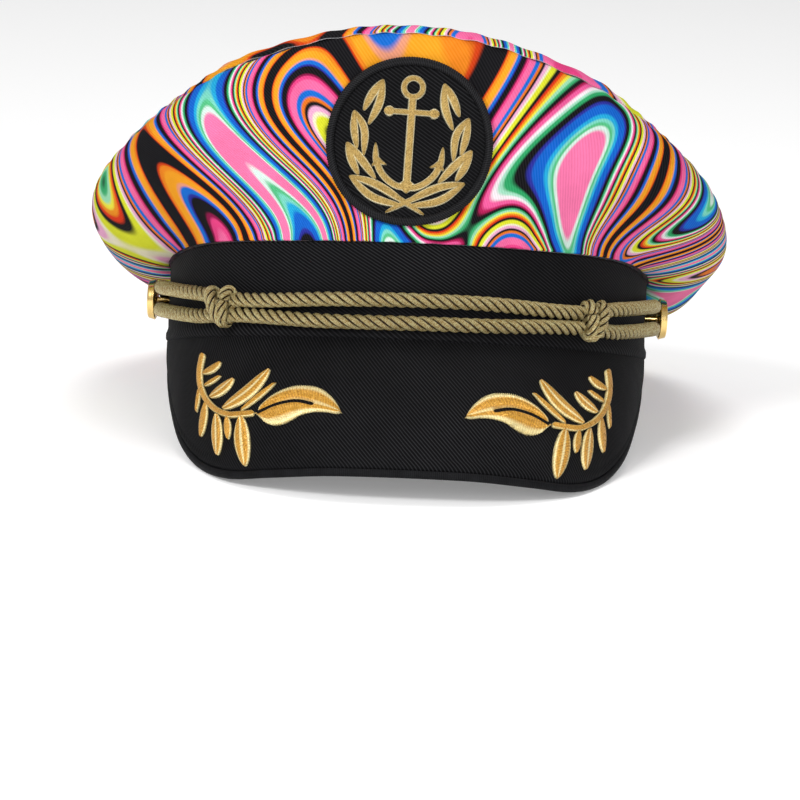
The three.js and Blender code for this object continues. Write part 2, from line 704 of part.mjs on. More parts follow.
// A knot: a core with three wraps of cord round it, leaning over each other.
function addKnots() {
  for (const [hand, side] of [['left', -1], ['right', 1]]) {
    const core = weld(new THREE.SphereGeometry(1, 8, 5));
    core.scale(KNOT_WIDTH / 2 - 0.4, CORD_OUT - 0.2, KNOT_HEIGHT / 2 - 0.6);
    const wraps = [-1, 0, 1].map((place) => {
      const wrap = weld(new THREE.TorusGeometry(KNOT_HEIGHT / 2 - 2, 2, 4, 10));
      wrap.rotateY(Math.PI / 2);
      wrap.scale(1, 0.32, 1);
      wrap.rotateY(radians(place === 0 ? -14 : 16));
      return wrap.translate(place * (KNOT_WIDTH / 2 - 2.6), 0, 0);
    });
    const knot = fused([core, ...wraps]);
    const angle = side * radians(KNOT_ANGLE);
    knot.rotateZ(Math.atan2(ovalNormal(angle).x, -ovalNormal(angle).y));
    const middle = strandPoint(angle, 0);
    knot.translate(middle.x, middle.y, middle.z);
    add(`knot_${hand}`, knot, GOLD, 0.5, 0.5);
  }
}

// A button: a domed face over a shank that passes through the cord's loop.
function addButtons() {
  const under = 2 * (CORD_RADIUS + GAP);
  const section = [
    [0, GAP],
    [SHANK_RADIUS, GAP],
    [SHANK_RADIUS, under],
    [BUTTON_RADIUS - 0.6, under],
    [BUTTON_RADIUS, under + 0.5],
    [BUTTON_RADIUS - 0.4, under + 1.1],
    [BUTTON_RADIUS * 0.8, under + 1.5],
    [BUTTON_RADIUS * 0.45, under + BUTTON_WALL - 0.3],
    [0, under + BUTTON_WALL],
  ].map(([r, z]) => new THREE.Vector2(r, z));
  for (const [hand, side] of [['left', -1], ['right', 1]]) {
    const angle = side * radians(BUTTON_ANGLE);
    const out = ovalNormal(angle);
    const button = weld(new THREE.LatheGeometry(section, 20));
    button.applyQuaternion(new THREE.Quaternion().setFromUnitVectors(new THREE.Vector3(0, 1, 0), out));
    const seat = ovalPoint(angle, 0, strandPoint(angle, 0).z);
    button.translate(seat.x, seat.y, seat.z);
    add(`button_${hand}`, button, GOLD, 0.3, 0.9);
  }
}

addBand();
addSweatband();
addRearStrap();
addCrown();
addStiffener();
addPatchBacking();
addVisor();
addPatch();
addAnchor();
addWreath();
addSprigs();
addCord();
addKnots();
addButtons();

// Lowest point of the named pieces when the hat leans back by an angle.
function lowest(names, lean) {
  const turn = new THREE.Matrix4().makeRotationX(-lean);
  let low = Infinity;
  for (const mesh of hat.children.filter((child) => names.includes(child.name))) {
    const place = mesh.geometry.getAttribute('position');
    const point = new THREE.Vector3();
    for (let i = 0; i < place.count; i += 1) {
      low = Math.min(low, point.fromBufferAttribute(place, i).applyMatrix4(turn).z);
    }
  }
  return low;
}

// Lean at which the visor and the back of the band reach equally low.
function restingLean() {
  let [less, more] = [0, radians(40)];
  for (let i = 0; i < 30; i += 1) {
    const half = (less + more) / 2;
    if (lowest(['visor', 'visor_piping'], half) < lowest(['band'], half)) less = half;
    else more = half;
  }
  return less;
}

hat.rotation.x = -restingLean();
hat.updateMatrixWorld(true);
const bounds = new THREE.Box3().setFromObject(hat, true);
const middle = bounds.getCenter(new THREE.Vector3());
hat.position.set(-middle.x, -middle.y, -bounds.min.z);

const part = new THREE.Group();
part.add(hat);

export default part;
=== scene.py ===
# A captain hat: its cloth, cords, embroidery and buttons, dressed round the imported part.

import json
import math

import bmesh
import bpy
import numpy as np
from mathutils import Matrix, Vector
from numpy import clip, cos, sin, sqrt, where


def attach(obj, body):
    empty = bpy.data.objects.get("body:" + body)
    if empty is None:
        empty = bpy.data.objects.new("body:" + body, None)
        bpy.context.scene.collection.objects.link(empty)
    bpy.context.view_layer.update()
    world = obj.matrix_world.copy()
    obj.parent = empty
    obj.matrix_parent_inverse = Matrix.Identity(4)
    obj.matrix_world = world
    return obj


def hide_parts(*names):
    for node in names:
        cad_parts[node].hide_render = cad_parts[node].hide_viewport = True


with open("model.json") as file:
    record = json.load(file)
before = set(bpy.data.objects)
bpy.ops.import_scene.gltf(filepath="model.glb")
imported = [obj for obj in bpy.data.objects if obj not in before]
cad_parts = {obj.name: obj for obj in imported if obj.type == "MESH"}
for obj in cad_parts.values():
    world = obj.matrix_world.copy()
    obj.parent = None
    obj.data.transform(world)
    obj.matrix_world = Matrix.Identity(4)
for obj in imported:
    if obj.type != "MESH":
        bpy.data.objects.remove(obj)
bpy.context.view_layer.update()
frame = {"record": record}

MM = 0.001
TURN = 2 * math.pi
UP = np.array([0.0, 0.0, 1.0])
HANDS = (("left", -1), ("right", 1))

# Band, sweatband and strap, in millimetres of the wearer's frame: the band stands on z = 0, front at -Y
BAND_HALF_WIDTH = 85
BAND_HALF_LENGTH = 102
BAND_WALL = 2.4
BAND_FRONT_HEIGHT = 32.5
BAND_MEAN_RADIUS = 94
SWEATBAND_WALL = 1.4
SWEATBAND_HEIGHT = 16
STRAP_LENGTH = 62
STRAP_HEIGHT = 12
STRAP_WALL = 1.4
STRAP_LIFT = 2
STRAP_BACK = 90.0163

# Crown
CROWN_HALF_WIDTH = 111
CROWN_HALF_LENGTH = 113
CROWN_SHIFT_BACK = 18
CROWN_HEIGHT = 106
CROWN_CLOTH = 1.6
CLOTH_SHOWN = 0.8 * CROWN_CLOTH
CROWN_PROUD = 0.5
TOP_PUFF = 21
CROWN_SLOUCH = 1.2
SEAM_SQUARENESS = 2.15
SEAM_SQUARER_FRONT = 0.1
SEAM_ROLL = 1.5
SIDE_GIRTH = 660
SIDE_HEIGHT = 75

# Visor
VISOR_TURN = 84
VISOR_REACH = 38
VISOR_DROP = 48
VISOR_WALL = 2.2
VISOR_BULGE = 3
VISOR_DEPTH = 50
PIPING_RADIUS = 1.4

# Patch
PATCH_RADIUS = 29.4
PATCH_WALL = 1.2
PATCH_HEIGHT = 67.2
PATCH_SIDE = -1.5
PATCH_BEND = 70
PATCH_TURN = -1.8
RIM_RADIUS = 1.5

# Stiffener and backing inside the front
STIFFENER_WALL = 0.8
STIFFENER_TURN = 52
STIFFENER_CLEARANCE = 0.9
BACKING_WIDTH = 34
BACKING_HEIGHT = 16
BACKING_WALL = 1

# Cord, knots and buttons: a strand goes into a knot as far as the reach before its middle
CORD_RADIUS = 2.6
CORD_PITCH = 8
CORD_PLIES = 4
CORD_LAY = 15
KNOT_ANGLE = 45.5
KNOT_REACH = 3
BUTTON_ANGLE = 96
BUTTON_RADIUS = 7.4
SHANK_RADIUS = 0.95

GAP = 0.3
STITCH = 0.5
CORD_OUT = CORD_RADIUS + GAP
KNOT_PLACE = math.radians(KNOT_ANGLE)
BUTTON_PLACE = math.radians(BUTTON_ANGLE)


def table(columns, *rows):
    """Rows of numbers with named columns."""
    return [dict(zip(columns.split(), row)) for row in rows]


# Height of the band by the turn from its front, in degrees, as a share of its front height
BAND_HEIGHTS = table(
    "turn height",
    (0, 1),
    (30, 0.99),
    (60, 0.96),
    (90, 0.8),
    (120, 0.65),
    (180, 0.6),
)

# Wall of the crown by the turn from its front: the seam's height and the pulls that bend the wall
CROWN_SECTIONS = table(
    "turn seam foot_out foot_up head_out head_up",
    (0, 1, -0.075, 0.185, 0.03, -0.26),
    (30, 0.883, -0.05, 0.2, 0.14, -0.16),
    (45, 0.76, -0.01, 0.18, 0.22, -0.11),
    (60, 0.645, 0.035, 0.1, 0.18, -0.12),
    (90, 0.45, 0.12, -0.02, 0.09, -0.13),
    (120, 0.29, 0.095, -0.09, 0.06, -0.11),
    (150, 0.205, 0.083, -0.13, 0.037, -0.108),
    (180, 0.165, 0.083, -0.135, 0.028, -0.1),
)

# Lower edge of the visor from its middle to its end
VISOR_EDGE = table(
    "root across ahead drop",
    (0, 0, 1, 0.955),
    (0.18, 0.285, 0.985, 0.96),
    (0.34, 0.52, 0.92, 0.985),
    (0.5, 0.695, 0.825, 1),
    (0.64, 0.815, 0.68, 0.93),
    (0.76, 0.905, 0.5, 0.75),
    (0.87, 0.96, 0.28, 0.49),
    (0.95, 0.99, 0.1, 0.22),
    (1, 0.998, 0.01, 0.05),
)

CORD_HEIGHTS = table("turn height", (0, 0.268), (KNOT_ANGLE, 0.286), (BUTTON_ANGLE, 0.443))

# The sprig on the visor's +X half, in millimetres across and up: its stem, and each leaf's root and tip
SPRIG_STEM = [
    (70.2, -7.1), (70.9, -13), (70.4, -18), (68.6, -22.5),
    (64.8, -26.7), (59.6, -28.9), (55.2, -28.7), (50.7, -28.2),
]
SPRIG_LEAVES = table(
    "root_x root_y tip_x tip_y width bow",
    (55.6, -27.6, 43.8, -17.4, 1.9, 0),
    (61.8, -27.0, 46.2, -12.8, 4.9, 0.05),
    (66.6, -22.9, 58.5, -16.2, 3.6, 0.03),
    (69.0, -18.9, 63.2, -15.2, 1.6, 0),
    (69.8, -14.4, 63.5, -10.3, 2.7, 0.05),
    (55.3, -29.4, 52.8, -46.7, 5.9, 0.02),
    (60.1, -29.6, 59.3, -37.5, 2.7, 0),
    (63.9, -28.6, 62.7, -43.1, 4.2, 0),
    (68.0, -24.6, 69.0, -36.7, 2.9, 0),
    (70.6, -19.5, 71.2, -28.1, 1.5, 0),
)
# The long leaf: its line over the slit, and its reach above and below by the share along it
LONG_LEAF_LINE = [(50.7, -28.3), (43, -24.6), (36.6, -23.4), (30.8, -24.4), (26.2, -25.6), (20.8, -27.3)]
LONG_LEAF = table(
    "along above below",
    (0, 0, 0),
    (0.06, 1.1, 4.2),
    (0.14, 2.1, 6.6),
    (0.28, 3.6, 7.3),
    (0.49, 5.1, 5.8),
    (0.68, 5.7, 2.9),
    (0.83, 4.1, 1.5),
    (0.94, 1.7, 0.9),
    (1, 0, 0),
)

# The wreath's leaves on the patch's +X half, in shares of the patch's radius: a tip, and the middle and
# the root of the outer and of the inner half
WREATH_LEAVES = table(
    "tip outer_middle outer_root inner_middle inner_root width",
    ((0.354, 0.714), (0.478, 0.53), (0.566, 0.331), (0.385, 0.436), (0.497, 0.169), 0.115),
    ((0.68, 0.333), (0.662, 0.119), (0.61, -0.121), (0.552, 0.146), (0.523, -0.195), 0.108),
    ((0.739, -0.043), (0.664, -0.25), (0.565, -0.427), (0.548, -0.24), (0.362, -0.463), 0.115),
    ((0.682, -0.437), (0.39, -0.672), (0.02, -0.768), (0.4, -0.505), (-0.022, -0.734), 0.112),
)
WREATH_STALK_END = (-0.226, -0.858)

# The wearer's frame inside the part's frame, from the flat rim of the sweatband
rim = next(mount for mount in frame["record"]["mounts"] if mount["name"] == "head_rim")
LEAN = math.asin(rim["axis"][1])
HEAD = Matrix.Translation((0, rim["pos_m"][1], rim["pos_m"][2])) @ Matrix.Rotation(LEAN, 4, "X")


def in_frame(spots):
    """Points of the wearer's frame in millimetres, as points of the part's frame in metres."""
    turn = np.array(HEAD.to_3x3())
    return spots @ turn.T * MM + np.array(HEAD.translation)


def smooth_line(keys, values, slopes, at):
    """Smooth line through values at their keys, with a slope at each of them."""
    i = clip(np.searchsorted(keys, at, side="right") - 1, 0, len(keys) - 2)
    span = keys[i + 1] - keys[i]
    t = (at - keys[i]) / span
    start = values[i] * (2 * t**3 - 3 * t**2 + 1) + slopes[i] * span * (t**3 - 2 * t**2 + t)
    return start + values[i + 1] * (3 * t**2 - 2 * t**3) + slopes[i + 1] * span * (t**3 - t**2)


def smooth_column(rows, key, name, at):
    """One column of a table between its rows, smooth, and level at both ends."""
    keys = np.array([row[key] for row in rows], float)
    values = np.array([row[name] for row in rows], float)
    slopes = np.zeros(len(rows))
    slopes[1:-1] = (values[2:] - values[:-2]) / (keys[2:] - keys[:-2])
    return smooth_line(keys, values, slopes, clip(at, keys[0], keys[-1]))


def spot(x, y, z):
    return np.stack(np.broadcast_arrays(x, y, z), axis=-1).astype(float)


def unit(vectors):
    return vectors / np.linalg.norm(vectors, axis=-1, keepdims=True)


def turn_of(angle):
    """Turn from the front, 0 to 180 degrees, of an angle that runs all round towards +X."""
    return np.degrees(np.arccos(clip(cos(angle), -1, 1)))


def oval_normal(angle):
    across = sin(angle) / BAND_HALF_WIDTH
    return unit(spot(across, -cos(angle) / BAND_HALF_LENGTH, 0 * across))


def oval_point(angle, outwards, height):
    """Point of the oval round the head, moved outwards from the band's outer face."""
    out = oval_normal(angle)
    x = BAND_HALF_WIDTH * sin(angle) + out[..., 0] * outwards
    y = -BAND_HALF_LENGTH * cos(angle) + out[..., 1] * outwards
    return spot(x, y, height)


def band_top(angle):
    return BAND_FRONT_HEIGHT * smooth_column(BAND_HEIGHTS, "turn", "height", turn_of(angle))


def seam_point(angle):
    """Seam between the side and the top of the crown: a rounded box in plan, squarer at the front."""
    power = 2 / (SEAM_SQUARENESS + SEAM_SQUARER_FRONT * cos(angle))
    sine, cosine = sin(angle), cos(angle)
    x = CROWN_HALF_WIDTH * np.sign(sine) * np.abs(sine) ** power
    y = CROWN_SHIFT_BACK - CROWN_HALF_LENGTH * np.sign(cosine) * np.abs(cosine) ** power
    rise = CROWN_HEIGHT * smooth_column(CROWN_SECTIONS, "turn", "seam", turn_of(angle))
    return spot(x, y, rise - x * math.tan(math.radians(CROWN_SLOUCH)))


def side_face(angle, share):
    """Outer face of the crown's side: share 0 on the band, 1 at the seam."""
    turn = turn_of(angle)
    out = oval_normal(angle)

    def pulled(point, end):
        away, up = (
            CROWN_HEIGHT * smooth_column(CROWN_SECTIONS, "turn", f"{end}_{way}", turn)[..., None]
            for way in ("out", "up")
        )
        return point + out * away + UP * up

    foot = oval_point(angle, CROWN_PROUD, band_top(angle) + GAP)
    head = seam_point(angle)
    low, high = pulled(foot, "foot"), pulled(head, "head")
    t = np.asarray(share, float)[..., None]
    return (1 - t) ** 3 * foot + 3 * (1 - t) ** 2 * t * low + 3 * (1 - t) * t**2 * high + t**3 * head


def top_face(angle, share):
    """Outer face of the crown's top: share 0 over the seam, 1 at the middle."""
    seam = seam_point(angle)
    middle = np.array([0.0, CROWN_SHIFT_BACK, CROWN_HEIGHT * 0.55])
    share = np.asarray(share, float)
    point = seam + (middle - seam) * share[..., None]
    point[..., 2] += TOP_PUFF * (1 - (1 - share) ** 2.4)
    return point


def visor_column(name, place):
    """One column of the visor's edge, its rows spread evenly over the half visor."""
    steps = len(VISOR_EDGE) - 1
    rows = [{"place": i / steps, "value": row[name]} for i, row in enumerate(VISOR_EDGE)]
    beyond = 2 * rows[-1]["value"] - rows[-2]["value"]
    rows.append({"place": 1 + 1 / steps, "value": beyond})
    return smooth_column(rows, "place", "value", place)


def visor_face(side, share):
    """Upper face of the visor: share 0 at the root under the band, 1 at the edge."""
    side, share = np.broadcast_arrays(np.asarray(side, float), np.asarray(share, float))
    place = np.abs(side)
    hand = where(side < 0, -1.0, 1.0)
    turn = math.radians(VISOR_TURN) * visor_column("root", place) * hand
    root = oval_point(turn, 0, -GAP)
    root_end = oval_point(np.array(math.radians(VISOR_TURN)), 0, -GAP)[1]
    tip = -BAND_HALF_LENGTH - VISOR_REACH
    edge = spot(
        BAND_HALF_WIDTH * visor_column("across", place) * hand,
        root_end + (tip - root_end) * visor_column("ahead", place),
        -VISOR_DROP * visor_column("drop", place),
    )
    point = root + (edge - root) * share[..., None]
    lift = VISOR_BULGE * 4 * share * (1 - share) * cos(turn)
    out = oval_normal(turn)
    out[..., 2] = 0.8
    return point + unit(out) * lift[..., None]


def face_normal(face, a, b):
    """Outward normal of a face, by small steps along it."""
    step = 1e-3
    along_a = face(a + step, b) - face(a - step, b)
    along_b = face(a, b + step) - face(a, b - step)
    return unit(np.cross(along_a, along_b))


def side_offset(angle, share, out):
    return side_face(angle, share) + face_normal(side_face, angle, share) * np.asarray(out)[..., None]


def visor_offset(side, share, out):
    return visor_face(side, share) - face_normal(visor_face, side, share) * np.asarray(out)[..., None]


def place_on(offset, a, b, x, z, lift):
    """Place on a face whose front view is x and z, by Newton's steps from a first guess."""
    step = 1e-3

    def seen(a, b):
        return offset(a, b, np.full(np.shape(a), lift))[..., [0, 2]]

    for _ in range(14):
        here = seen(a, b)
        along_a = (seen(a + step, b) - here) / step
        along_b = (seen(a, b + step) - here) / step
        miss_x, miss_z = x - here[..., 0], z - here[..., 1]
        scale = along_a[..., 0] * along_b[..., 1] - along_a[..., 1] * along_b[..., 0]
        a = a + clip((miss_x * along_b[..., 1] - miss_z * along_b[..., 0]) / scale, -0.1, 0.1)
        b = b + clip((miss_z * along_a[..., 0] - miss_x * along_a[..., 1]) / scale, -0.2, 0.2)
    return a, b


def on_patch(x, y, lift):
    """Points on the front of the crown for places on the patch, measured from its middle."""
    turn = math.radians(PATCH_TURN)
    across = x * math.cos(turn) - y * math.sin(turn)
    up = x * math.sin(turn) + y * math.cos(turn)
    goal_x = PATCH_BEND * sin(across / PATCH_BEND) + PATCH_SIDE
    goal_z = up + PATCH_HEIGHT
    start = np.full(np.shape(x), 0.5)
    a, b = place_on(side_offset, goal_x / BAND_HALF_LENGTH, start, goal_x, goal_z, GAP)
    return side_offset(a, b, lift)


def on_visor(x, z, lift):
    """Points on the visor for places seen from the front."""
    a, b = place_on(visor_offset, 0.6 * x / BAND_HALF_WIDTH, -z / VISOR_DROP, x, z, GAP)
    return visor_offset(a, b, lift)


# Building cloth: grids of squares, moved onto their faces, each with its own map in millimetres

def moved_grid(name, columns, rows, lay):
    """A grid moved in the wearer's frame: lay(u, v) gives its points, its cloth map and its marks."""
    grid = bmesh.new()
    bmesh.ops.create_grid(grid, x_segments=columns, y_segments=rows, size=0.5)
    mesh = bpy.data.meshes.new(name)
    grid.to_mesh(mesh)
    flat = np.empty(len(mesh.vertices) * 3)
    mesh.vertices.foreach_get("co", flat)
    u, v = (flat.reshape(-1, 3)[:, axis] + 0.5 for axis in (0, 1))
    points, cloth_map, marks = lay(u, v)
    mesh.vertices.foreach_set("co", in_frame(points).ravel())
    corners = np.empty(len(mesh.loops), dtype=np.int32)
    mesh.loops.foreach_get("vertex_index", corners)
    layer = mesh.uv_layers.new(name="cloth")
    layer.data.foreach_set("uv", np.stack(cloth_map, axis=-1)[corners].ravel())
    for mark, values in marks.items():
        layer = mesh.attributes.new(mark, "FLOAT", "POINT")
        layer.data.foreach_set("value", np.broadcast_to(values, u.shape).astype(float))
    grid.clear()
    grid.from_mesh(mesh)
    bmesh.ops.remove_doubles(grid, verts=grid.verts, dist=2e-6)
    bmesh.ops.dissolve_degenerate(grid, edges=grid.edges, dist=1e-7)
    loose = [edge for edge in grid.edges if not edge.link_faces]
    bmesh.ops.delete(grid, geom=loose, context="EDGES")
    grid.to_mesh(mesh)
    grid.free()
    mesh.shade_smooth()
    piece = bpy.data.objects.new(name, mesh)
    bpy.context.scene.collection.objects.link(piece)
    return piece


def all_round(u):
    """Angle round the hat, from its back over its front to its back again."""
    return TURN * (u - 0.5)


def half_wave(share):
    """0 at both ends and 1 halfway."""
    return sin(math.pi * clip(share, 0, 1))


def rounded(distance, width):
    """1 further from an end than a width, rounded down to 0 at the end."""
    return sqrt(1 - (1 - clip(distance / width, 0, 1)) ** 2)


def end_taper(u, width):
    return rounded(np.minimum(u, 1 - u), width)


def wall_section(v, wall, length, roll=0.2):
    """Once round a wall's section, as a share of its height and a depth: up the outer face, over the
    rounded top, down the inner face and round the foot."""
    half = np.floor(2 * np.minimum(v, 0.999999))
    along = where(v >= 1, 1.0, 2 * v - half)
    edge = wall / 2 / length
    bend = clip((along - (1 - roll)) / roll, 0, 1) * math.pi
    straight = clip(along / (1 - roll), 0, 1)
    rising = edge + (1 - 2 * edge) * straight + edge * sin(bend)
    turned = wall / 2 * (1 - cos(bend))
    return where(half < 1, rising, 1 - rising), where(half < 1, turned, wall - turned)


def sheet_section(u, v, wall, length, roll, ends):
    """Section of a wall that gets thin and round at both of its ends."""
    share, depth = wall_section(v, wall, length, roll)
    return share, wall / 2 + (depth - wall / 2) * end_taper(u, ends)


def disc_section(v, wall, length, rows):
    """Once round a disc's section, from its rim over its outer face to the middle and back underneath."""
    edge = wall / 2 / length
    outer = v < 0.5 + 0.25 / rows
    back_start = 0.5 + 1 / rows
    bend = clip((v - 0.9) / 0.1, 0, 1) * math.pi
    out_bound = edge + (1 - edge) * np.minimum(v / 0.5, 1)
    back = 1 - (1 - edge) * clip((v - back_start) / (0.9 - back_start), 0, 1)
    share = where(outer, out_bound, where(v <= 0.9, back, edge - edge * sin(bend)))
    return share, where(outer, 0, wall / 2 * (1 + cos(bend)))


def finish_piece(piece, material, slot, *nodes):
    piece.data.materials.append(material)
    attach(piece, "root")
    if nodes:
        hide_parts(*nodes)


def smooth_step(low, high, value):
    t = clip((value - low) / (high - low), 0, 1)
    return t * t * (3 - 2 * t)


def bump(distance, width):
    return np.exp(-((distance / width) ** 2))


# Shading: one socket of a material's nodes, written in Python's own signs

class Shade:
    """A number, colour or vector in a material's nodes."""

    def __init__(self, tree, made=None, output=0):
        self.tree = tree
        self.made = made
        self.output = output

    def node(self, kind, settings, sockets, output=0):
        made = self.tree.nodes.new(kind)
        for name, value in settings.items():
            setattr(made, name, value)
        for name, value in sockets.items():
            if isinstance(value, Shade):
                self.tree.links.new(value.made.outputs[value.output], made.inputs[name])
            else:
                made.inputs[name].default_value = value
        return Shade(self.tree, made, output)

    def also(self, output):
        return Shade(self.tree, self.made, output)

    def maths(self, operation, *values):
        return self.node("ShaderNodeMath", {"operation": operation}, dict(enumerate(values)))

    def __add__(self, other):
        return self.maths("ADD", self, other)

    def __radd__(self, other):
        return self.maths("ADD", other, self)

    def __sub__(self, other):
        return self.maths("SUBTRACT", self, other)

    def __rsub__(self, other):
        return self.maths("SUBTRACT", other, self)

    def __mul__(self, other):
        return self.maths("MULTIPLY", self, other)

    def __rmul__(self, other):
        return self.maths("MULTIPLY", other, self)

    def __abs__(self):
        return self.maths("ABSOLUTE", self)

    def sine(self):
        return self.maths("SINE", self)

    def above(self, limit):
        return self.maths("GREATER_THAN", self, limit)

    def step(self, low, high):
        """0 below low and 1 above high, smooth between them."""
        sockets = {"Value": self, "From Min": low, "From Max": high}
        return self.node("ShaderNodeMapRange", {"interpolation_type": "SMOOTHSTEP"}, sockets)


def mixed(share, first, second):
    """Colour between two colours, each a socket or a red, a green and a blue share."""
    some = next(value for value in (share, first, second) if isinstance(value, Shade))
    first, second = ((*end, 1) if isinstance(end, tuple) else end for end in (first, second))
    return some.node("ShaderNodeMix", {"data_type": "RGBA"}, {0: share, 6: first, 7: second}, 2)


def start_material(name):
    material = bpy.data.materials.new(name)
    material.use_nodes = True
    material.node_tree.nodes.clear()
    return material, Shade(material.node_tree)


def cloth_place(start):
    """The two directions of the piece's own cloth map, in millimetres."""
    place = start.node("ShaderNodeUVMap", {"uv_map": "cloth"}, {})
    along = start.node("ShaderNodeSeparateXYZ", {}, {"Vector": place}, "X")
    return along, along.also("Y")


def mark_on(start, name):
    return start.node("ShaderNodeAttribute", {"attribute_name": name}, {}, "Fac")


def object_noise(start, scale, detail=3):
    """Uneven patches through the object's own space, about 0.5 on average."""
    place = start.node("ShaderNodeTexCoord", {}, {}, "Object")
    sockets = {"Vector": place, "Scale": scale, "Detail": detail, "Roughness": 0.6}
    return start.node("ShaderNodeTexNoise", {}, sockets, "Fac")


def raised(start, height, strength):
    """Bumps from a height in millimetres."""
    sockets = {"Height": height, "Strength": strength, "Distance": MM}
    return start.node("ShaderNodeBump", {}, sockets, "Normal")


def finish_material(start, sockets):
    surface = start.node("ShaderNodeBsdfPrincipled", {}, sockets)
    start.node("ShaderNodeOutputMaterial", {}, {"Surface": surface})


def colour(code):
    """A screen colour, written in hexadecimal, as the linear colour of a shader."""
    parts = [int(code[i:i + 2], 16) / 255 for i in (0, 2, 4)]
    return tuple(p / 12.92 if p <= 0.04045 else ((p + 0.055) / 1.055) ** 2.4 for p in parts) + (1.0,)


def ribs(start, slope, pitch):
    """Twill ribs over the cloth map: a wave that falls to the right at a slope in degrees."""
    x, y = cloth_place(start)
    slant = math.radians(slope)
    scale = TURN / pitch
    return (x * (math.sin(slant) * scale) + y * (math.cos(slant) * scale)).sine()


# The printed cloth's bands of colour, in the order they follow each other
PRINT_BANDS = table(
    "width colour",
    (6, "0f0e12"), (0.7, "d8410f"), (2.2, "f58a1c"), (5, "fba722"), (1.1, "f2a07e"),
    (3, "1470d6"), (0.9, "2a2f9e"), (5, "0f0e12"), (1, "8f1048"), (2.2, "ee4488"),
    (5.5, "fb6ea6"), (3.3, "1470d6"), (2, "f07a1e"), (1.7, "0f0e12"), (2.2, "f4b0d4"),
    (1, "f6efcf"), (3, "e6ea30"), (1.9, "0f0e12"), (1.1, "e63a12"), (1.2, "f6951e"),
    (1, "f2ea45"), (1.2, "9fe2b6"), (0.8, "3db272"), (1.7, "0f0e12"), (0.6, "b81a58"),
    (1.9, "f25d9e"), (1.3, "fbf0f5"), (0.9, "a8e6c8"), (1.7, "2fa968"), (3, "0f0e12"),
    (1.2, "2a2f9e"), (4.4, "0d66d0"), (1.8, "22aee0"), (1.2, "7fdcc6"), (1.2, "58c487"),
    (1.2, "dcf5ea"), (5, "ff7db0"),
)
BANDS_IN_RAMP = 12


def band_ramp(start, value, bands, starts, whole):
    """A colour ramp over some of the bands, softened a little where two colours meet."""
    ramp = start.node("ShaderNodeValToRGB", {}, {"Fac": value}, "Color")
    stops = []
    for row, low in zip(bands, starts):
        soft = min(0.22 * row["width"], 0.5)
        stops += [(low + soft, row["colour"]), (low + row["width"] - soft, row["colour"])]
    points = ramp.made.color_ramp.elements
    points[0].position = stops[0][0] / whole
    points[-1].position = stops[-1][0] / whole
    for position, _ in stops[1:-1]:
        points.new(position / whole)
    for point, (_, code) in zip(points, stops):
        point.color = colour(code)
    return ramp


def print_colour(start, shift_x, shift_y):
    """A generic marbled print: level lines of a slow wave field, painted in the bands' colours."""
    x, y = cloth_place(start)
    x = x * 0.0103 + shift_x
    y = y * 0.0075 + shift_y
    bent_x = x + (4.6 * y + 1.7 * x + 0.2).sine() * 0.12 + (11 * y - 5 * x + 2).sine() * 0.04
    bent_y = y + (3.7 * x + 2.2).sine() * 0.34 + (8.3 * x + 1).sine() * 0.1
    field = (3.9 * bent_x + (3.1 * bent_y).sine() * 0.5 + 0.3).sine() * 0.62
    field = field + (7.3 * bent_x + 1.9 * bent_y + 1.9).sine() * 0.42
    field = field + (2.1 * bent_x + 5.4 * bent_y + 0.4).sine() * 0.36 + 0.35 * bent_x
    value = field.maths("PINGPONG", field, 1)
    widths = [row["width"] for row in PRINT_BANDS]
    starts = [sum(widths[:i]) for i in range(len(widths))]
    whole = sum(widths)
    painted = None
    for first in range(0, len(PRINT_BANDS) - 1, BANDS_IN_RAMP):
        last = first + BANDS_IN_RAMP + 1
        ramp = band_ramp(start, value, PRINT_BANDS[first:last], starts[first:last], whole)
        switch = (starts[first] + widths[first] / 2) / whole
        painted = ramp if painted is None else mixed(value.above(switch), painted, ramp)
    return painted


def printed_cloth(name, shift_x, shift_y):
    """Printed twill: bright on its face, pale on its back."""
    material, start = start_material(name)
    rib = ribs(start, 58, 0.9)
    worn = object_noise(start, 90)
    print_face = mixed(rib * 0.006 + 0.006, print_colour(start, shift_x, shift_y), (0.9, 0.9, 0.92))
    print_face = mixed(worn * 0.3 - rib * 0.05 + 0.18, print_face, (0.0, 0.0, 0.0))
    back = mixed(0.72, print_face, (0.62, 0.62, 0.65))
    face = mixed(mark_on(start, "back"), print_face, back)
    finish_material(start, {
        "Base Color": face,
        "Roughness": 0.72 + worn * 0.12,
        "Specular IOR Level": 0.05,
        "Normal": raised(start, rib * 0.05 + worn * 0.15, 0.5),
    })
    return material


def black_twill(name, slope, pitch=1.05):
    """Black cotton twill: fine slanting ribs that catch the light."""
    material, start = start_material(name)
    rib = ribs(start, slope, pitch)
    x, y = cloth_place(start)
    threads = ((x + y * 0.35) * (TURN / 0.45)).sine()
    worn = object_noise(start, 160)
    patches = object_noise(start, 22, 2)
    lit = rib.step(0.1, 1.0) * (0.1 + patches * 1.1) + worn * 0.15
    face = mixed(lit, (0.001, 0.001, 0.0012), (0.022, 0.022, 0.024))
    finish_material(start, {
        "Base Color": face,
        "Roughness": 0.6 + worn * 0.15,
        "Specular IOR Level": 0.035,
        "Normal": raised(start, rib * 0.08 + threads * 0.015 + worn * 0.08, 0.6),
    })
    return material


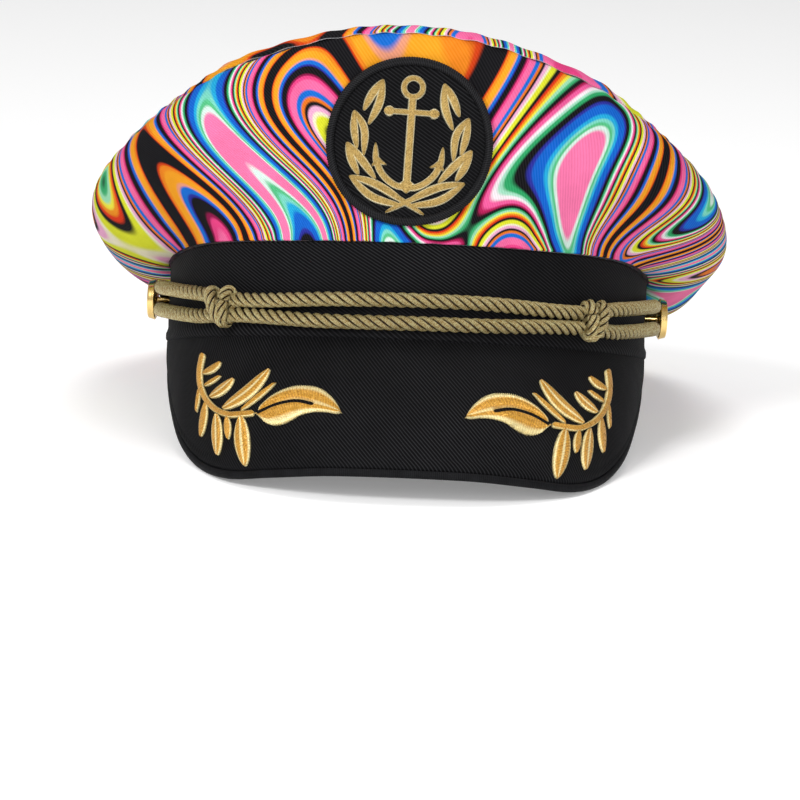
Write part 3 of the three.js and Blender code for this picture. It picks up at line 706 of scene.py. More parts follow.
def black_tape(name, pitch=0.7):
    """Black woven tape: close cross ribs and softly shining edges."""
    material, start = start_material(name)
    x, y = cloth_place(start)
    rib = (x * (TURN / pitch)).sine()
    cross = (y * (TURN / (pitch * 0.8))).sine()
    worn = object_noise(start, 200)
    face = mixed(rib * 0.3 + worn, (0.001, 0.001, 0.0013), (0.011, 0.011, 0.0125))
    finish_material(start, {
        "Base Color": face,
        "Roughness": 0.5 + worn * 0.2,
        "Specular IOR Level": 0.07,
        "Normal": raised(start, rib * 0.06 + cross * 0.04 + worn * 0.06, 0.6),
    })
    return material


def black_thread(name):
    """Black thread in close stitches across an edge."""
    material, start = start_material(name)
    x, y = cloth_place(start)
    stitch = ((x + y * 0.25) * (TURN / STITCH)).sine()
    worn = object_noise(start, 260)
    lit = stitch.step(-0.6, 1) * 0.7 + worn * 0.4
    face = mixed(lit, (0.001, 0.001, 0.0013), (0.018, 0.018, 0.02))
    finish_material(start, {
        "Base Color": face,
        "Roughness": 0.42 + worn * 0.2,
        "Specular IOR Level": 0.1,
        "Normal": raised(start, stitch * 0.08 + worn * 0.04, 0.8),
    })
    return material


def gold_thread(name, painted_shade, body, pale):
    """Satin stitches of metallic thread, with painted highlights in the pale colour along the edges and
    down the vein of each stroke, and painted glints and shade over its body.
    """
    material, start = start_material(name)
    along, across = cloth_place(start)
    worn = object_noise(start, 260, 3)
    glints = object_noise(start, 1500, 2)
    slanted = along + across * 1.4
    stitch = (slanted * (TURN / STITCH)).sine()
    strand = (slanted * (TURN / 0.95) + glints * 9).sine()
    # Painted shade and sparkle: the glint noise and the strand waves move the thread's colour between the
    # deep shade and the body colour.
    middle = mixed(glints.step(0.34, 0.6) * 0.5 + strand * 0.25 + 0.4, painted_shade, body)
    # Painted highlights in the pale colour: along each stroke's edges, down its vein and on the brightest
    # glints.
    edge = abs(across).step(0.6, 0.82)
    vein = mark_on(start, "vein") * (1 - abs(across).step(0.06, 0.22))
    shine = edge.maths("MAXIMUM", edge, vein) * (0.8 + strand * 0.2) + glints.step(0.6, 0.75) * 0.25
    face = mixed(shine, middle, pale)
    finish_material(start, {
        "Base Color": face,
        "Metallic": 0.3,
        "Roughness": 0.18 + worn * 0.22,
        "Specular IOR Level": 0.4,
        "Normal": raised(start, stitch * 0.1 + glints * 0.25, 0.9),
    })
    return material


def gold_cord(name):
    """Twisted metallic cord: plies of fine threads with painted highlights and glints, and painted shade
    darkening them down in the grooves.
    """
    material, start = start_material(name)
    along, across = cloth_place(start)
    thread = ((along * 0.9 + across * 1.6) * (TURN / 0.7)).sine()
    strand = ((along * 0.9 + across * 1.6) * (TURN / 1.6) + 1.3).sine()
    worn = object_noise(start, 300, 3)
    glints = object_noise(start, 1700, 2)
    # Painted highlights and glints: the lit share brightens the plies with the glint noise, the threads and
    # the strands.
    lit = glints.step(0.44, 0.58) * 0.5 + thread * 0.15 + strand * 0.35 + 0.3
    ply = mixed(lit, (0.42, 0.2, 0.01), (1.0, 0.94, 0.5))
    # Painted shade: the cord is darkened to near black down in the grooves between the plies.
    face = mixed(mark_on(start, "groove_shade").step(0.3, 0.8), ply, (0.05, 0.015, 0.001))
    finish_material(start, {
        "Base Color": face,
        "Metallic": 0.35,
        "Roughness": 0.12 + worn * 0.2,
        "Specular IOR Level": 1.0,
        "Normal": raised(start, thread * 0.2 + glints * 0.6, 1.0),
    })
    return material


def gold_metal(name):
    """Stamped metal with a gold finish, a little darker down in the relief."""
    material, start = start_material(name)
    worn = object_noise(start, 300)
    low = mark_on(start, "low")
    face = mixed(low * 0.6, (0.95, 0.68, 0.26), (0.42, 0.22, 0.05))
    finish_material(start, {
        "Base Color": face,
        "Metallic": 1.0,
        "Roughness": 0.2 + worn * 0.12 + low * 0.15,
        "Normal": raised(start, worn * 0.05, 0.4),
    })
    return material


def clear_sheet(name):
    """Clear bendable plastic, a little cloudy and creased."""
    material, start = start_material(name)
    creases = object_noise(start, 35)
    finish_material(start, {
        "Base Color": mixed(creases, (0.8, 0.84, 0.88), (0.95, 0.97, 1.0)),
        "Roughness": 0.06 + creases * 0.08,
        "Alpha": 0.16 + creases * 0.1,
        "Normal": raised(start, creases * 1.6, 0.6),
    })
    return material


def floor_paper(name):
    material, start = start_material(name)
    tone = object_noise(start, 3)
    finish_material(start, {
        "Base Color": mixed(tone, (0.86, 0.86, 0.86), (0.88, 0.88, 0.88)),
        "Roughness": 0.9,
        "Specular IOR Level": 0.1,
        "Emission Color": (1, 1, 1, 1),
        "Emission Strength": 0.22,
    })
    return material


# Crown

def back_mark(depth):
    """A mark that is 1 on the back of the printed cloth."""
    return {"back": smooth_step(0.8, 1.2, depth)}


def side_lengths(angle):
    """Length of the crown's side from foot to seam."""
    shares = np.linspace(0, 1, 25)
    points = side_face(angle[..., None], np.broadcast_to(shares, angle.shape + shares.shape))
    return np.linalg.norm(np.diff(points, axis=-2), axis=-1).sum(axis=-1)


def side_relief(angle, share, length):
    """Height of the folds, puckers and seams on the side of the crown, in millimetres."""
    turn = turn_of(angle)
    below = (1 - share) * length
    above = share * length
    rear = smooth_step(95, 135, turn)
    flank = smooth_step(40, 75, turn) * (1 - smooth_step(100, 130, turn))
    puckers = 0.3 * sin(71 * angle + 2.2 * sin(9 * angle)) * bump(below, 7)
    foot_puckers = 0.25 * sin(57 * angle + 1.7 * sin(11 * angle) + 1) * bump(above, 8)
    soft = sin(5 * angle + 2.3 * share + 0.8) + 0.6 * sin(11 * angle - 3.1 * share)
    folds = (0.35 + 1.5 * rear + 0.9 * flank) * soft * half_wave(share) ** 0.8
    tucks = -1.6 * bump(np.abs(np.abs(angle) - 2.3) * 90 - 9 * share, 3.5) * rear * (1 - share)
    join = -1.1 * bump((math.pi - np.abs(angle)) * 90, 1.5)
    return puckers + foot_puckers + folds + tucks + join - SEAM_ROLL * bump(below, 1.6)


def add_crown_side(cloth):
    stations = np.linspace(-math.pi, math.pi, 181)
    measured = side_lengths(stations)

    def lay(u, v):
        angle = all_round(u)
        length = np.interp(angle, stations, measured)
        share, depth = wall_section(v, CLOTH_SHOWN, SIDE_HEIGHT)
        points = side_offset(angle, share, side_relief(angle, share, length) - depth)
        return points, (SIDE_GIRTH * (u - 0.5), share * length), back_mark(depth)

    finish_piece(moved_grid("crown_side_cloth", 420, 110, lay), cloth, "printed_cloth", "crown_side")


def top_relief(angle, share):
    """Height of the puckers and soft folds on the top of the crown, in millimetres."""
    inwards = share * CROWN_HALF_WIDTH
    puckers = 0.3 * sin(67 * angle + 2.4 * sin(8 * angle) + 2) * bump(inwards, 8)
    slack = 0.4 + 1.2 * smooth_step(60, 150, turn_of(angle))
    soft = sin(4 * angle + 5 * share) + 0.5 * sin(9 * angle - 6 * share + 1)
    folds = 0.9 * slack * soft * half_wave(share) ** 1.5
    return puckers + folds - (SEAM_ROLL + 0.4) * bump(inwards, 1.7)


def add_crown_top(cloth):
    rows = 130
    level_from = 0.985

    def lay(u, v):
        angle = all_round(u)
        share, depth = disc_section(v, CLOTH_SHOWN, CROWN_HALF_WIDTH, rows)
        out = top_relief(angle, share) + CROWN_CLOTH + GAP - depth
        level = smooth_step(0.9, level_from, share)[..., None]
        normal = face_normal(top_face, angle, np.minimum(share, level_from))
        points = top_face(angle, share) + unit(normal * (1 - level) + UP * level) * out[..., None]
        return points, (points[..., 0], points[..., 1] * 1.15), back_mark(depth)

    finish_piece(moved_grid("crown_top_cloth", 420, rows, lay), cloth, "printed_cloth", "crown_top")


# Band, sweatband and strap

def add_band(cloth):
    def lay(u, v):
        angle = all_round(u)
        turn = turn_of(angle)
        share, depth = wall_section(v, BAND_WALL, BAND_FRONT_HEIGHT, 0.3)
        height = share * band_top(angle)
        hem = -0.35 * bump(height - 3.2, 0.5) * bump(turn, 80)
        wave = 0.18 * sin(9 * angle + 0.3 * height) * sin(math.pi * share)
        join = -0.8 * bump((math.pi - np.abs(angle)) * 95, 1.2)
        over_visor = smooth_step(VISOR_TURN + 3, VISOR_TURN, turn)
        low = 1.3 * smooth_step(5, 0, height) * over_visor
        ledge = 0.9 * smooth_step(4.2, 2.2, height) * over_visor
        relief = (hem + wave + join + ledge) * (depth < 1.5)
        return oval_point(angle, relief - depth, height - low), (angle * BAND_MEAN_RADIUS, height), {}

    finish_piece(moved_grid("band_twill", 480, 60, lay), cloth, "black_twill", "band")


def add_sweatband(tape):
    seams = (2.5, SWEATBAND_HEIGHT - 2.5)
    stitches = 227

    def lay(u, v):
        angle = all_round(u)
        share, depth = wall_section(v, SWEATBAND_WALL, SWEATBAND_HEIGHT, 0.3)
        height = share * SWEATBAND_HEIGHT
        rows = sum(bump(height - seam, 0.35) for seam in seams)
        sewn = 0.35 * rows * (0.75 + 0.25 * sin(stitches * angle))
        soft = 0.35 * sin(14 * angle + 1.5 * sin(5 * angle)) * sin(math.pi * share)
        out = (sewn - soft) * smooth_step(0.7, 1.2, depth) - BAND_WALL - GAP - depth
        return oval_point(angle, out, height), (angle * 92, height), {}

    finish_piece(moved_grid("sweatband_tape", 700, 40, lay), tape, "black_tape", "sweatband")


def add_rear_strap(tape):
    def lay(u, v):
        share, depth = sheet_section(u, v, STRAP_WALL, STRAP_HEIGHT, 0.3, 0.02)
        x = STRAP_LENGTH * (u - 0.5)
        gathers = 0.12 * sin(x * TURN / 1.9) * half_wave(share) * end_taper(u, 0.05)
        height = share * STRAP_HEIGHT
        points = spot(-x, STRAP_BACK - STRAP_WALL + depth - gathers, STRAP_LIFT + height)
        return points, (x, height), {}

    finish_piece(moved_grid("rear_elastic", 260, 40, lay), tape, "black_tape", "rear_strap")


# Clear sheet and the black piece behind the patch

def add_stiffener(plastic):
    outer = -CROWN_CLOTH - STIFFENER_CLEARANCE
    lowest = 0.06
    rise = 0.7

    def lay(u, v):
        share, depth = sheet_section(u, v, STIFFENER_WALL, 50, 0.2, 0.01)
        corner = 1 - 0.1 * bump(np.minimum(u, 1 - u), 0.05)
        share = lowest + rise * (0.5 + (share - 0.5) * corner)
        angle = math.radians(STIFFENER_TURN) * (2 * u - 1)
        return side_offset(angle, share, outer - depth), (u * 180, v * 100), {}

    finish_piece(moved_grid("front_clear_sheet", 160, 60, lay), plastic, "clear_sheet", "front_stiffener")


def add_backing(cloth):
    outer = -CROWN_CLOTH - STIFFENER_CLEARANCE - STIFFENER_WALL - GAP
    span = BACKING_WIDTH / 2 / BAND_HALF_LENGTH
    lowest = 0.12
    rise = BACKING_HEIGHT / (CROWN_HEIGHT - BAND_FRONT_HEIGHT)

    def lay(u, v):
        share, depth = sheet_section(u, v, BACKING_WALL, BACKING_HEIGHT, 0.3, 0.02)
        x = BACKING_WIDTH * (u - 0.5)
        y = BACKING_HEIGHT * share
        from_edge = np.minimum(BACKING_WIDTH / 2 - np.abs(x), np.minimum(y, BACKING_HEIGHT - y))
        sewn = 0.2 * bump(from_edge - 1.5, 0.3) * (0.7 + 0.3 * sin((x + y) * TURN / 2.2))
        out = outer - depth + sewn * (depth > BACKING_WALL / 2)
        points = side_offset(span * (2 * u - 1), lowest + rise * share, out)
        return points, (BACKING_WIDTH * u, y), {}

    finish_piece(moved_grid("patch_backing_twill", 120, 60, lay), cloth, "black_tape", "patch_backing")


# Visor

def line_lengths(points):
    """Length along a line up to each of its points."""
    steps = np.linalg.norm(np.diff(points, axis=0), axis=-1)
    return np.concatenate([[0], np.cumsum(steps)])


def along_line(points, lengths, at):
    """Points of a line at some lengths along it."""
    return np.stack([np.interp(at, lengths, column) for column in points.T], axis=-1)


def square_to(way, along):
    """A direction, turned to stand square to another."""
    return unit(way - along * (way * along).sum(-1, keepdims=True))


def add_visor(cloth):
    stations = np.linspace(-1, 1, 201)
    lengths = line_lengths(visor_face(stations, 0.5))

    def lay(u, v):
        side = 2 * u - 1
        share, depth = sheet_section(u, v, VISOR_WALL, VISOR_DEPTH, 0.2, 0.008)
        from_edge = share * VISOR_DEPTH
        seam = -0.28 * bump(from_edge - 3.6, 0.45) * (0.8 + 0.2 * sin(side * 130 * TURN / 2.4))
        roll = 0.12 * smooth_step(4.2, 2.6, from_edge) * smooth_step(0, 1.6, from_edge)
        facing = where(depth < VISOR_WALL / 2, 1, -1) * end_taper(u, 0.03)
        points = visor_offset(side, 1 - share, (seam + roll) * facing - depth)
        down = visor_face(side, 1 - share)[..., 2]
        return points, (np.interp(side, stations, lengths), down * 1.1), {}

    finish_piece(moved_grid("visor_twill", 360, 90, lay), cloth, "black_twill", "visor")


def add_tube(name, points, out, columns, rows, shape):
    """A tube along a line of points. shape(length, from_end, angle) gives its radius, the second number
    of its cloth map and its marks."""
    lengths = line_lengths(points)
    whole = lengths[-1]
    along = unit(np.gradient(points, axis=0))
    out = square_to(out, along)
    up = np.cross(out, along)

    def lay(u, v):
        length = u * whole
        angle = TURN * v
        radius, across, marks = shape(length, np.minimum(length, whole - length), angle)
        out_way, up_way = (unit(along_line(way, lengths, length)) for way in (out, up))
        sideways = out_way * cos(angle)[..., None] + up_way * sin(angle)[..., None]
        return along_line(points, lengths, length) + sideways * radius[..., None], (length, across), marks

    return moved_grid(name, columns, rows, lay)


def add_piping(tape):
    slimmer_over = 26
    side = np.linspace(-1, 1, 400)
    edge = np.ones(400)
    middle = visor_offset(side, edge, edge * -VISOR_WALL / 2)
    along = unit(np.gradient(middle, axis=0))
    out = np.cross(square_to(-face_normal(visor_face, side, edge), along), along)
    out = out * np.sign((out * (middle - middle.mean(axis=0))).sum(-1, keepdims=True))
    lengths = line_lengths(middle)
    from_end = np.minimum(lengths, lengths[-1] - lengths)
    middle = middle + out * ((PIPING_RADIUS - 0.1) * smooth_step(-12, slimmer_over, from_end))[:, None]

    def shape(length, from_end, angle):
        radius = PIPING_RADIUS * (0.45 + 0.55 * smooth_step(0, slimmer_over, from_end))
        radius = radius + 0.03 * sin(length * TURN / 0.9)
        return radius * rounded(from_end, 1.2), angle * PIPING_RADIUS, {}

    piece = add_tube("visor_binding", middle, out, 900, 20, shape)
    finish_piece(piece, tape, "black_tape", "visor_piping")


# Patch

def add_patch_disc(cloth):
    radius = PATCH_RADIUS - RIM_RADIUS
    rows = 60

    def lay(u, v):
        share, depth = disc_section(v, PATCH_WALL, radius, rows)
        across = radius * (1 - share) * cos(TURN * u)
        up = radius * (1 - share) * sin(TURN * u)
        return on_patch(across, up, GAP + PATCH_WALL - depth), (across, up), {}

    finish_piece(moved_grid("patch_twill", 96, rows, lay), cloth, "black_twill", "patch_disc")


def add_patch_rim(thread):
    stitches = 210

    def lay(u, v):
        angle, around = TURN * u, TURN * v
        radius = RIM_RADIUS + 0.11 * sin(stitches * angle + 0.35 * TURN * cos(around))
        from_middle = PATCH_RADIUS - RIM_RADIUS + radius * cos(around)
        lift = GAP + RIM_RADIUS + 0.9 * radius * sin(around)
        points = on_patch(from_middle * cos(angle), from_middle * sin(angle), lift)
        return points, (u * stitches * STITCH, around * RIM_RADIUS), {}

    finish_piece(moved_grid("patch_merrowed_rim", 1260, 18, lay), thread, "black_thread", "patch_rim")


# Embroidery: satin strokes laid on the patch and the visor

def spread(points, count):
    """Evenly spaced points on a smooth line through a few points, by arc length."""
    points = np.array(points, float)
    keys = line_lengths(points)
    slopes = np.gradient(points, keys, axis=0)
    at = np.linspace(0, keys[-1], 400)
    line = np.stack([smooth_line(keys, points[:, i], slopes[:, i], at) for i in (0, 1)], axis=-1)
    lengths = line_lengths(line)
    return along_line(line, lengths, np.linspace(0, lengths[-1], count))


def mirrored(line, side):
    """A line of points of the +X half, on the half whose side is asked for."""
    return [(side * x, y) for x, y in line]


def satin(line, half_width, lay_on, lift, height, slit=0.0, vein=0.0):
    """A satin-stitched stroke: half_width(u) gives its reach to the left and right of a line."""
    length = line_lengths(np.array(line, float))[-1]
    path = spread(line, 200)
    ways = unit(np.gradient(path, axis=0))
    shares = np.linspace(0, 1, len(path))
    foot = lift - (0.6 if slit else 0.1)
    face = 0.7

    def lay(u, v):
        x, y = along_line(path, shares, u).T
        way_x, way_y = along_line(ways, shares, u).T
        over = 2 * clip(v / face, 0, 1) - 1
        under = 1 - 2 * clip((v - face) / (1 - face), 0, 1)
        across = where(v <= face, over, under)
        left, right = half_width(u)
        teeth = 1 + 0.07 * sin(u * length * TURN / STITCH)
        offset = across * where(across > 0, left, right) * teeth
        dome = height * sqrt(1 - np.abs(across) ** 3) * clip(np.maximum(left, right) / 0.4, 0, 1)
        if slit:
            opened = smooth_step(0.7, 0.64, u) * smooth_step(0.0, 0.05, u)
            dome = dome - (height + 1.4) * opened * bump(offset, slit)
        upper = (v <= face) | (v > 0.9999)
        up = where(upper, np.maximum(lift + dome, foot + 0.02), foot)
        # The vein mark picks the stroke's middle line for the gold thread's painted highlight.
        return lay_on(x - way_y * offset, y + way_x * offset, up), (u * length, across), {"vein": vein}

    return moved_grid("stroke", max(12, int(length / 0.16)), 70 if slit else 14, lay)


def leaf_shape(width, fullest=0.45, blunt=0.6):
    """Half width of a leaf by the share along it, the same to both sides."""
    power = math.log(0.5) / math.log(fullest)

    def reach(t):
        half = width / 2 * half_wave(clip(t, 0, 1) ** power) ** blunt
        return half, half

    return reach


def even_shape(width, ends=0.02):
    """Half width of a stroke of one width with rounded ends."""
    def reach(t):
        half = width / 2 * end_taper(t, ends)
        return half, half

    return reach


def joined(name, pieces):
    """One object from several, their maps and marks kept."""
    with bpy.context.temp_override(active_object=pieces[0], selected_editable_objects=pieces):
        bpy.ops.object.join()
    pieces[0].name = name
    return pieces[0]


def patch_stroke(line, half_width, height):
    """A stroke on the patch: its line is in shares of the patch's radius."""
    points = [np.array(point, float) * PATCH_RADIUS for point in line]
    return satin(points, half_width, on_patch, 2 * GAP + PATCH_WALL - 0.3, height)


def circle_line(x, y, radius, whole, count):
    turns = np.linspace(0, whole, count)
    return [(x + radius * math.cos(a), y + radius * math.sin(a)) for a in turns]


# The anchor's strokes, in shares of the patch's radius: the line, its shape and its height in millimetres
ANCHOR_RING = circle_line(0, 0.64, 0.11, TURN * 1.07, 24)
ANCHOR_SHANK = [(0, 0.53), (0, 0.1), (0, -0.5)]
ANCHOR_STOCK = [(-0.262, 0.35), (0, 0.35), (0.262, 0.35)]
ANCHOR_BALL = [(0.196, 0.35), (0.262, 0.35), (0.328, 0.35)]
ANCHOR_FOOT = [(0, -0.45), (0, -0.53), (0, -0.615)]
ANCHOR_ARM = [(0, -0.545), (0.12, -0.525), (0.24, -0.45), (0.325, -0.35), (0.372, -0.24)]
ANCHOR_HALF = table(
    "line shape width details height",
    (ANCHOR_ARM, even_shape, 0.09, (0.05,), 1.1),
    ([(0.372, -0.3), (0.385, -0.17), (0.395, -0.028)], leaf_shape, 0.085, (0.35,), 1.15),
    ([(0.375, -0.2), (0.32, -0.255), (0.248, -0.286)], leaf_shape, 0.06, (0.35,), 1.15),
    ([(0.36, -0.24), (0.4, -0.29), (0.425, -0.315)], leaf_shape, 0.05, (0.35,), 1.15),
)


def add_anchor(thread):
    size = PATCH_RADIUS
    strokes = [
        patch_stroke(ANCHOR_RING, even_shape(0.078 * size), 1.0),
        patch_stroke(ANCHOR_SHANK, even_shape(0.105 * size), 1.15),
        patch_stroke(ANCHOR_STOCK, even_shape(0.078 * size), 1.05),
    ]
    for _, side in HANDS:
        ball = sorted(mirrored(ANCHOR_BALL, side))
        strokes.append(patch_stroke(ball, leaf_shape(0.1386 * size, 0.5), 1.2))
        for row in ANCHOR_HALF:
            shape = row["shape"](row["width"] * size, *row["details"])
            strokes.append(patch_stroke(mirrored(row["line"], side), shape, row["height"]))
    strokes.append(patch_stroke(ANCHOR_FOOT, leaf_shape(0.2 * size, 0.4, 0.9), 1.1))
    finish_piece(joined("anchor_satin", strokes), thread, "gold_thread", "patch_anchor")


def leaf_halves(row, side):
    """A leaf's two satin halves, with a slit between them."""
    shape = leaf_shape(row["width"] * PATCH_RADIUS, 0.5, 0.5)
    lines = [(row["tip"], row[f"{half}_middle"], row[f"{half}_root"]) for half in ("outer", "inner")]
    return [patch_stroke(mirrored(line, side), shape, 0.95) for line in lines]


def add_wreath(thread):
    foot = []
    for hand, side in HANDS:
        for i, row in enumerate(WREATH_LEAVES[:-1]):
            piece = joined(f"wreath_satin_{hand}_{i + 1}", leaf_halves(row, side))
            finish_piece(piece, thread, "gold_thread", f"wreath_leaf_{hand}_{i + 1}")
        row = WREATH_LEAVES[-1]
        foot += leaf_halves(row, side)
        stalk = mirrored([row["inner_middle"], row["inner_root"], WREATH_STALK_END], side)
        foot.append(patch_stroke(stalk, leaf_shape(0.075 * PATCH_RADIUS, 0.6, 0.4), 1.05))
    finish_piece(joined("wreath_foot_satin", foot), thread, "gold_thread", "wreath_foot")


def visor_stroke(line, half_width, height, slit=0.0, vein=0.0):
    return satin(line, half_width, on_visor, 0.15, height, slit, vein)


def long_leaf_shape(side):
    def reach(t):
        ways = [smooth_column(LONG_LEAF, "along", way, t) for way in ("above", "below")]
        above, below = np.maximum(ways, 0)
        return (above, below) if side < 0 else (below, above)

    return reach


def bowed(root, tip, bow):
    """A line of three points from root to tip, its middle moved sideways by a share of its length."""
    root, tip = np.array(root), np.array(tip)
    along = tip - root
    return [root, (root + tip) / 2 + bow * np.array([-along[1], along[0]]), tip]


def add_sprig(thread, hand, side):
    strokes = [visor_stroke(mirrored(SPRIG_STEM, side), even_shape(2.2, 0.03), 1.1)]
    for row in SPRIG_LEAVES:
        ends = [(row["root_x"], row["root_y"]), (row["tip_x"], row["tip_y"])]
        line = bowed(*mirrored(ends, side), side * row["bow"])
        # Broad leaves get the painted highlight down their vein.
        vein = float(row["width"] > 3.5)
        strokes.append(visor_stroke(line, leaf_shape(row["width"], 0.48, 0.55), 1.0, vein=vein))
    strokes.append(visor_stroke(mirrored(LONG_LEAF_LINE, side), long_leaf_shape(side), 1.1, 0.75, 0.7))
    finish_piece(joined(f"sprig_satin_{hand}", strokes), thread, "gold_thread", f"visor_sprig_{hand}")


# Cord, knots and buttons

def strand_point(angle, level):
    """Middle line of a cord strand: level is 1 for the upper strand and -1 for the lower."""
    share = smooth_column(CORD_HEIGHTS, "turn", "height", turn_of(angle))
    return oval_point(angle, CORD_OUT, BAND_FRONT_HEIGHT * share + level * CORD_PITCH / 2)


def add_rope(name, points, out, radius, lay, ends=1.5, columns_per_mm=4.0):
    """A rope of four touching round plies along a line of points; lay is one turn of its plies."""
    ply_turn = TURN / CORD_PLIES
    ply = (math.sqrt(2) - 1) * radius
    middle = radius - ply

    def shape(length, from_end, angle):
        local = np.mod(angle + TURN * length / lay + ply_turn / 2, ply_turn) - ply_turn / 2
        full = middle * cos(local) + sqrt(np.maximum(ply**2 - (middle * sin(local)) ** 2, 0))
        # The groove mark is 1 down between the plies, where the cord gets its painted shade.
        groove_shade = clip((1 - full / radius) / 0.45, 0, 1)
        return full * rounded(from_end, ends), local * radius * 1.2, {"groove_shade": groove_shade}

    columns = int(line_lengths(points)[-1] * columns_per_mm)
    return add_tube(name, points, out, columns, 40, shape)


def angle_for(length, angle):
    """Angle round the head that a length of the cord takes up."""
    ends = oval_point(angle + np.array([0.5, -0.5]), CORD_OUT, 0)
    return length / np.linalg.norm(ends[0] - ends[1])


def add_front_cords(gold):
    knot = KNOT_PLACE - angle_for(KNOT_REACH, KNOT_PLACE)
    angle = np.linspace(-knot, knot, 500)
    sag = 1 - (angle / knot) ** 2
    near = smooth_step(0.35, 1, np.abs(angle / knot))
    for name, level in (("upper", 1), ("lower", -1)):
        points = strand_point(angle, level)
        points[:, 2] += (0.5 * sin(3.1 * angle + level) - 0.45 * level) * sag
        points[:, 2] -= level * (CORD_PITCH / 2 - CORD_RADIUS - 0.1) * near
        piece = add_rope(f"cord_{name}_strand", points, oval_normal(angle), CORD_RADIUS, CORD_LAY)
        finish_piece(piece, gold, "gold_cord", f"cord_front_{name}")


def add_loops(gold):
    reach = np.linspace(KNOT_PLACE + angle_for(KNOT_REACH, KNOT_PLACE), BUTTON_PLACE, 160)
    bend = np.linspace(0, math.pi, 60)[1:-1]
    turned = BUTTON_PLACE + angle_for(CORD_PITCH / 2, BUTTON_PLACE) * sin(bend)
    along = np.concatenate([reach, turned, reach[::-1]])
    level = np.concatenate([np.ones(160), cos(bend), -np.ones(160)])
    level = level * (1 - 0.25 * smooth_step(KNOT_PLACE + 0.2, KNOT_PLACE, along))
    for hand, side in HANDS:
        points, out = strand_point(side * along, level), oval_normal(side * along)
        tighter = CORD_LAY * 0.93
        piece = add_rope(f"cord_{hand}_loop", points, out, CORD_RADIUS, tighter, columns_per_mm=3.2)
        finish_piece(piece, gold, "gold_cord", f"cord_loop_{hand}")


def knot_wrap(middle, ways, shift, lean, spin):
    """One wrap of cord round the two strands: an upright oval, leaning sideways."""
    along, out = ways
    turn = np.linspace(0, TURN, 160) + spin
    height = 5.3 * sin(turn)
    depth = 1.8 + 2.4 * cos(turn)
    sideways = shift + lean * height + 0.6 * sin(turn / 2)
    points = middle + along * sideways[:, None] + out * depth[:, None] + UP * height[:, None]
    centre = middle + along * shift + out * 1.7
    return add_rope("wrap", points, unit(points - centre), 2.25, 13, ends=0.8, columns_per_mm=5)


def add_knots(gold):
    for hand, side in HANDS:
        angle = np.array(side * KNOT_PLACE)
        middle, out = strand_point(angle, 0), oval_normal(angle)
        ways = (np.cross(UP, out), out)
        wraps = [
            knot_wrap(middle, ways, -2.6 * side, -0.1 * side, 0.4),
            knot_wrap(middle + out * 0.9, ways, 1.4 * side, 0.5 * side, 3.4),
        ]
        finish_piece(joined(f"cord_knot_{hand}", wraps), gold, "gold_cord", f"knot_{hand}")


def near_stroke(x, y, line, width):
    """1 within a stroke along a line of points, falling to 0 at its sides."""
    nearest = np.full(x.shape, 1e9)
    for (x0, y0), (x1, y1) in zip(line, line[1:]):
        dx, dy = x1 - x0, y1 - y0
        t = clip(((x - x0) * dx + (y - y0) * dy) / (dx * dx + dy * dy), 0, 1)
        nearest = np.minimum(nearest, np.hypot(x - x0 - t * dx, y - y0 - t * dy))
    return smooth_step(width, width * 0.45, nearest)


# The plain anchor on a button's face, in shares of its radius: each line and its width
BUTTON_ANCHOR = [
    ([(0, 0.36), (0, -0.42)], 0.09),
    ([(-0.2, 0.22), (0.2, 0.22)], 0.075),
    (circle_line(0, 0.44, 0.09, TURN, 10), 0.06),
    ([(-0.38, -0.1), (-0.25, -0.34), (0, -0.46), (0.25, -0.34), (0.38, -0.1)], 0.085),
]


def button_relief(x, y):
    return np.max([near_stroke(x, y, line, width) for line, width in BUTTON_ANCHOR], axis=0)


def button_height(r, x, y):
    """Height of the button's face over its foot, in millimetres, by the share of its radius."""
    dome = 1.5 + 0.95 * sqrt(clip(1 - (r / 1.25) ** 2, 0, 1))
    rim = 0.5 * bump(r - 0.88, 0.07)
    valley = -0.45 * bump(r - 0.74, 0.06)
    pebbles = 0.05 * sin(26 * x + 7 * y) * sin(26 * y - 7 * x) * smooth_step(0.68, 0.6, r)
    fall = smooth_step(0.9, 1.0, r) * 1.6
    return dome + rim + valley + pebbles + 0.5 * button_relief(x, y) - fall


def add_button(metal, hand, side):
    angle = np.array(side * BUTTON_PLACE)
    out = oval_normal(angle)
    across = np.cross(UP, out)
    seat = oval_point(angle, 0, strand_point(angle, 0)[2])
    under = 2 * (CORD_RADIUS + GAP) - 0.3
    shank = SHANK_RADIUS / BUTTON_RADIUS
    face_end = 0.72

    def lay(u, v):
        face = v <= face_end
        below = 1 + (shank - 1) * clip((v - face_end) / 0.12, 0, 1)
        below = where(v > 0.96, shank * clip((1 - v) / 0.04, 0, 1), below)
        r = where(face, v / face_end, below)
        x, y = r * cos(TURN * u), r * sin(TURN * u)
        drop = clip((v - 0.84) / 0.12, 0, 1) * (under - GAP)
        height = where(face, under + button_height(r, x, y), under - drop)
        sideways = (across * x[:, None] + UP * y[:, None]) * BUTTON_RADIUS
        low = smooth_step(0.82, 0.76, r) * face * (1 - button_relief(x, y))
        points = seat + sideways + out * height[:, None]
        return points, (x * BUTTON_RADIUS, y * BUTTON_RADIUS), {"low": low}

    finish_piece(moved_grid(f"stamped_button_{hand}", 144, 100, lay), metal, "gold_metal", f"button_{hand}")


# The whole hat

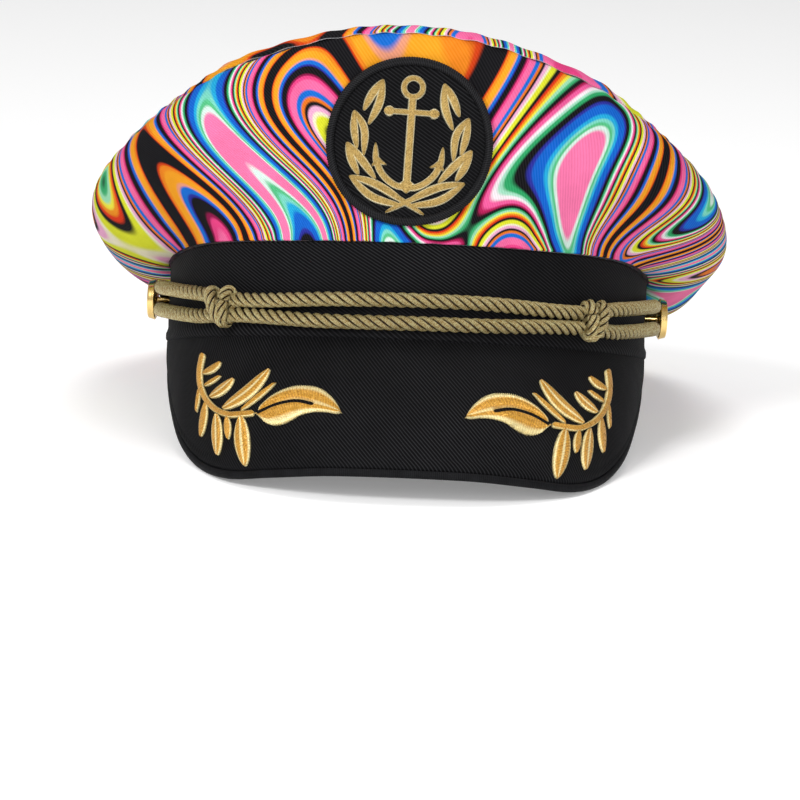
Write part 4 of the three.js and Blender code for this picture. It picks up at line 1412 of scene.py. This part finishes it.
def add_hat():
    add_crown_side(printed_cloth("printed cloth, side", 0.0, 0.0))
    add_crown_top(printed_cloth("printed cloth, top", 4.1, 2.7))
    add_band(black_twill("band twill", 28))
    tape = black_tape("black tape")
    add_sweatband(tape)
    add_rear_strap(tape)
    add_stiffener(clear_sheet("clear sheet"))
    add_backing(tape)
    add_visor(black_twill("visor twill", 51))
    add_piping(tape)
    add_patch_disc(black_twill("patch twill", 32, 1.1))
    add_patch_rim(black_thread("rim thread"))
    patch_thread = gold_thread("patch thread", (0.22, 0.12, 0.02), (0.58, 0.39, 0.12), (1.0, 0.94, 0.66))
    add_anchor(patch_thread)
    add_wreath(patch_thread)
    sprig_thread = gold_thread("sprig thread", (0.32, 0.12, 0.005), (0.74, 0.38, 0.045), (1.0, 0.88, 0.46))
    for hand, side in HANDS:
        add_sprig(sprig_thread, hand, side)
    gold = gold_cord("gold cord")
    add_front_cords(gold)
    add_loops(gold)
    add_knots(gold)
    metal = gold_metal("gold metal")
    for hand, side in HANDS:
        add_button(metal, hand, side)


# Floor, light and camera

def add_floor():
    bpy.ops.mesh.primitive_plane_add(size=12, location=(0, 0, 0))
    floor = bpy.context.object
    floor.name = "floor"
    floor.data.materials.append(floor_paper("floor paper"))


def add_light(name, place, target, size, watts):
    light = bpy.data.lights.new(name, "AREA")
    light.energy = watts
    light.shape = "DISK"
    light.size = size
    lamp = bpy.data.objects.new(name, light)
    lamp.location = place
    lamp.rotation_euler = (Vector(target) - Vector(place)).to_track_quat("-Z", "Y").to_euler()
    bpy.context.scene.collection.objects.link(lamp)


def add_lights():
    world = bpy.data.worlds.new("studio")
    bpy.context.scene.world = world
    world.use_nodes = True
    world.node_tree.nodes["Background"].inputs["Color"].default_value = (1, 1, 1, 1)
    world.node_tree.nodes["Background"].inputs["Strength"].default_value = 0.42
    middle = (0, 0, 0.07)
    add_light("key", (-0.7, -1.1, 1.0), middle, 0.5, 16)
    add_light("fill", (0.55, -1.4, 0.4), middle, 0.8, 10)
    add_light("top", (0.1, 0.3, 1.3), middle, 0.7, 6)


def add_camera():
    """Camera in front, a little above the floor, slightly rolled as the hat is in its picture."""
    distance = 2.5
    lens = 315
    rise = math.radians(11.87)
    roll = math.radians(2.26)
    sensor = 36
    pixel = distance * sensor / lens / 800
    origin = Vector(HEAD.translation)
    away = Vector((0, -math.cos(rise), math.sin(rise)))
    right = Vector((1, 0, 0))
    up = away.cross(right)
    turned_right = right * math.cos(roll) + up * math.sin(roll)
    turned_up = up * math.cos(roll) - right * math.sin(roll)
    target = origin - turned_right * (5.8 * pixel) - turned_up * (52 * pixel)
    data = bpy.data.cameras.new("camera")
    data.lens = lens
    data.sensor_width = sensor
    camera = bpy.data.objects.new("camera", data)
    axes = Matrix((turned_right, turned_up, away)).transposed()
    camera.matrix_world = Matrix.Translation(target + away * distance) @ axes.to_4x4()
    bpy.context.scene.collection.objects.link(camera)
    bpy.context.scene.camera = camera


add_hat()
add_floor()
add_lights()
add_camera()
bpy.context.scene.view_settings.view_transform = "Standard"
